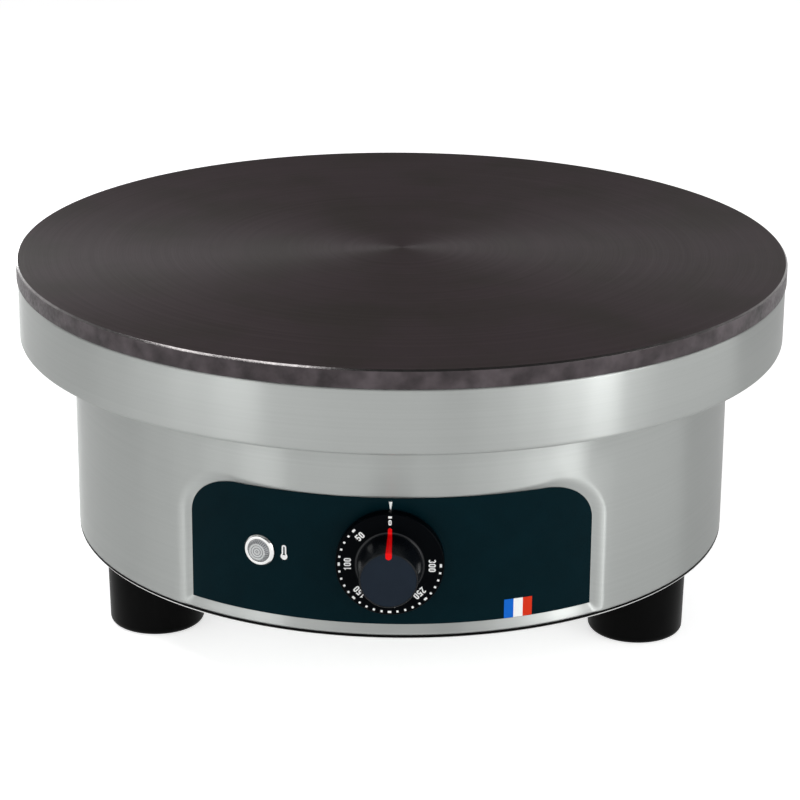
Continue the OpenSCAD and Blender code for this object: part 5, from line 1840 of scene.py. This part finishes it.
@dataclass
class Softbox:
    """A rectangular light that faces the middle of the object."""

    name: str
    azimuth: float
    height: float
    distance: float
    width: float
    tall: float
    brightness: float

    def build(self, target: Vector) -> None:
        """Places the light, with its power set from the brightness of its face.

        Args:
            target: The point that it faces.
        """
        data = bpy.data.lights.new(self.name, "AREA")
        data.shape = "RECTANGLE"
        data.size, data.size_y = self.width, self.tall
        data.energy = self.brightness * math.pi * self.width * self.tall
        light = new_object(self.name, data)
        turn = math.radians(self.azimuth)
        light.location = (self.distance * math.sin(turn), -self.distance * math.cos(turn), self.height)
        light.rotation_euler = (target - light.location).to_track_quat("-Z", "Y").to_euler()
        light.visible_camera = False


@dataclass
class SoftBank:
    """Upright light panels side by side round the object, low enough to stand on the floor.

    The brightness changes by an even ratio from the first panel to the last.
    """

    name: str
    start: float
    end: float
    first: float
    last: float
    panels: int = 1
    distance: float = 1.5
    tall: float = 0.9

    def build(self) -> None:
        """Places the panels."""
        step = (self.end - self.start) / self.panels
        width = 2 * self.distance * math.tan(math.radians(step / 2))
        middle = Vector((0.0, 0.0, self.tall / 2))
        for number in range(self.panels):
            brightness = self.first * (self.last / self.first) ** (number / max(1, self.panels - 1))
            azimuth = self.start + (number + 0.5) * step
            Softbox(f"{self.name}_{number + 1}", azimuth, middle.z, self.distance, width, self.tall,
                    brightness).build(middle)


@dataclass
class Studio:
    """Floor, backdrop, lights and camera."""

    focal: float = 127.08
    distance: float = 1502.93 * MM
    elevation: float = 19.326
    azimuth: float = 1.518
    roll: float = 0.401
    aim_right: float = -0.39 * MM
    aim_height: float = 96.89 * MM
    floor_size: float = 12.0
    fill: float = 0.30
    seen_front: float = 0.40
    seen_back: float = 1.0
    wall_start: float = 0.2
    wall_end: float = 0.95
    dark_ceiling: float = 0.25
    ceiling_start: float = 0.5
    ceiling_end: float = 0.85
    floor_grey: float = 0.86
    floor_roughness: float = 0.9
    floor_specular: float = 0.1
    floor_seen: float = 0.65
    floor_mirrored: float = 0.40
    lamp_aim: float = 0.12
    sensor: float = 36.0
    sight: float = 50.0

    def build(self) -> None:
        """Sets the whole studio."""
        bpy.context.scene.view_settings.view_transform = "Standard"
        self.camera()
        self.world()
        self.floor()
        for bank in (
            SoftBank("back_left", -155, -145, 6.2, 6.2),
            SoftBank("far_left", -145, -90, 0.42, 0.18, 2),
            SoftBank("left", -90, -36, 0.50, 2.1, 4),
            SoftBank("front_gap", -36, -26, 0.80, 0.80),
            SoftBank("front", -26, 12, 0.90, 0.90),
            SoftBank("right", 12, 62, 0.68, 4.4, 5),
            SoftBank("far_right", 62, 108, 0.85, 0.85),
        ):
            bank.build()
        for box in (
            Softbox("high_left", -88, 1.42, 1.05, 0.6, 0.25, 7.0),
            Softbox("high_front_left", -57, 1.55, 0.78, 0.6, 0.25, 7.0),
            Softbox("high_right", 74, 1.0, 1.4, 0.25, 0.4, 5.0),
        ):
            box.build(Vector((0.0, 0.0, self.lamp_aim)))

    def camera(self) -> None:
        """Places the camera at the fitted view."""
        e, a, r = (math.radians(v) for v in (self.elevation, self.azimuth, self.roll))
        back = Vector((math.sin(a) * math.cos(e), -math.cos(a) * math.cos(e), math.sin(e)))
        right = Vector((math.cos(a), math.sin(a), 0.0))
        up = back.cross(right)
        turned_right = right * math.cos(r) + up * math.sin(r)
        turned_up = up * math.cos(r) - right * math.sin(r)
        target = Vector((self.aim_right * math.cos(a), self.aim_right * math.sin(a), self.aim_height))
        data = bpy.data.cameras.new("camera")
        data.lens = self.focal
        data.sensor_width = self.sensor
        data.clip_end = self.sight
        camera = new_object("camera", data)
        turn = Matrix((turned_right, turned_up, back)).transposed().to_4x4()
        camera.matrix_world = Matrix.Translation(target + back * self.distance) @ turn
        bpy.context.scene.camera = camera

    def world(self) -> None:
        """Lights the room evenly and shows a white backdrop; metal sees it greyer in front and above."""
        world = bpy.data.worlds.new("studio")
        bpy.context.scene.world = world
        world.use_nodes = True
        bench = Bench(world.node_tree)
        background = world.node_tree.nodes["Background"]
        path = bench.add("ShaderNodeLightPath")
        way = bench.add("ShaderNodeSeparateXYZ", {0: bench.add("ShaderNodeTexCoord").outputs["Generated"]})
        wall = bench.span(way.outputs[1], self.seen_front, self.seen_back, self.wall_start, self.wall_end)
        above = bench.span(way.outputs[2], 1.0, self.dark_ceiling, self.ceiling_start, self.ceiling_end)
        room = bench.math("MULTIPLY", wall, above)
        shiny = bench.math("MAXIMUM", path.outputs["Is Glossy Ray"], path.outputs["Is Transmission Ray"])
        indirect = bench.choose(shiny, self.fill, room)
        bench.feed(background, Strength=bench.choose(path.outputs["Is Camera Ray"], indirect, 1.0))
        background.inputs["Color"].default_value = (1.0, 1.0, 1.0, 1.0)

    def floor(self) -> None:
        """Makes the white floor, which keeps a faint shadow of the object."""
        bm = bmesh.new()
        half = self.floor_size / 2
        corners = ((-half, -half), (half, -half), (half, half), (-half, half))
        bm.faces.new([bm.verts.new((x, y, 0.0)) for x, y in corners])
        floor = new_object("floor", finished(bm, "floor"))
        material = bpy.data.materials.new("white_floor")
        material.use_nodes = True
        bench = Bench(material.node_tree)
        shader = material.node_tree.nodes["Principled BSDF"]
        for key, value in (("Base Color", (self.floor_grey, self.floor_grey, self.floor_grey, 1.0)),
                           ("Roughness", self.floor_roughness), ("Specular IOR Level", self.floor_specular),
                           ("Emission Color", (1.0, 1.0, 1.0, 1.0))):
            shader.inputs[key].default_value = value
        path = bench.add("ShaderNodeLightPath")
        seen = bench.math("MAXIMUM", path.outputs["Is Camera Ray"], path.outputs["Is Transmission Ray"])
        direct = bench.math("MULTIPLY", seen, self.floor_seen)
        glow = bench.choose(path.outputs["Is Glossy Ray"], direct, self.floor_mirrored)
        bench.feed(shader, Emission_Strength=glow)
        floor.data.materials.append(material)


def screw_sets(base: BasePlate) -> Iterable[ScrewSet]:
    """Yields the sets of screws whose heads show from below.

    Args:
        base: The base plate, whose rings the screws stand on.

    Returns:
        The sets, each with its places.
    """
    m4, m5, m6 = 2.0 * MM, 2.5 * MM, 3.0 * MM
    nut, nut_height, block_lift = 4.0 * MM, 3.2 * MM, 4.0 * MM
    clearance = 0.1 * MM
    seat, top = (corner.z for corner in node_box("base_plate"))
    places = [base.around(angle, base.screw_ring) for angle in base.screw_angles]
    yield ScrewSet("base_screws", places, m5, seat)
    places = [base.around(angle, base.foot_ring) for angle in base.foot_angles]
    yield ScrewSet("foot_screws", places, m6, node_box("foot_washers")[0].z)
    low, high = node_box("block_screws")
    x, y = high.x - nut, (low.y + high.y) / 2
    pressed = HexNut(nut - clearance, top + block_lift, top + block_lift + nut_height)
    yield ScrewSet("block_screws", [(-x, y), (x, y)], m4, seat, pressed)
    low, high = node_box("earth_stud")
    middle = ((low.x + high.x) / 2, (low.y + high.y) / 2)
    yield ScrewSet("earth_stud", [middle], m4, seat, HexNut(nut, top, top + nut_height), Slot.BRASS, BRASS)


def main() -> None:
    """Builds the studio and the object, sub-assembly by sub-assembly."""
    logging.basicConfig(level=logging.INFO, format="%(name)s: %(message)s")
    Studio().build()
    for group in (ring_lines, moulded_grain, fibre_wool, scuffs):
        group()
    recess = RecessForm()
    CookingPlate().build()
    BandRing().build()
    BodyShell(recess).build()
    panel = ControlPanel(recess)
    panel.build()
    DialKnob().build()
    PilotLamp().build(panel)
    for node in ("foot_front_left", "foot_front_right", "foot_rear"):
        Foot(node).build()
    base = BasePlate()
    base.build()
    for screws in screw_sets(base):
        screws.build()
    CableGland().build()
    InnerWorks().dress()


if __name__ == "__main__":
    main()
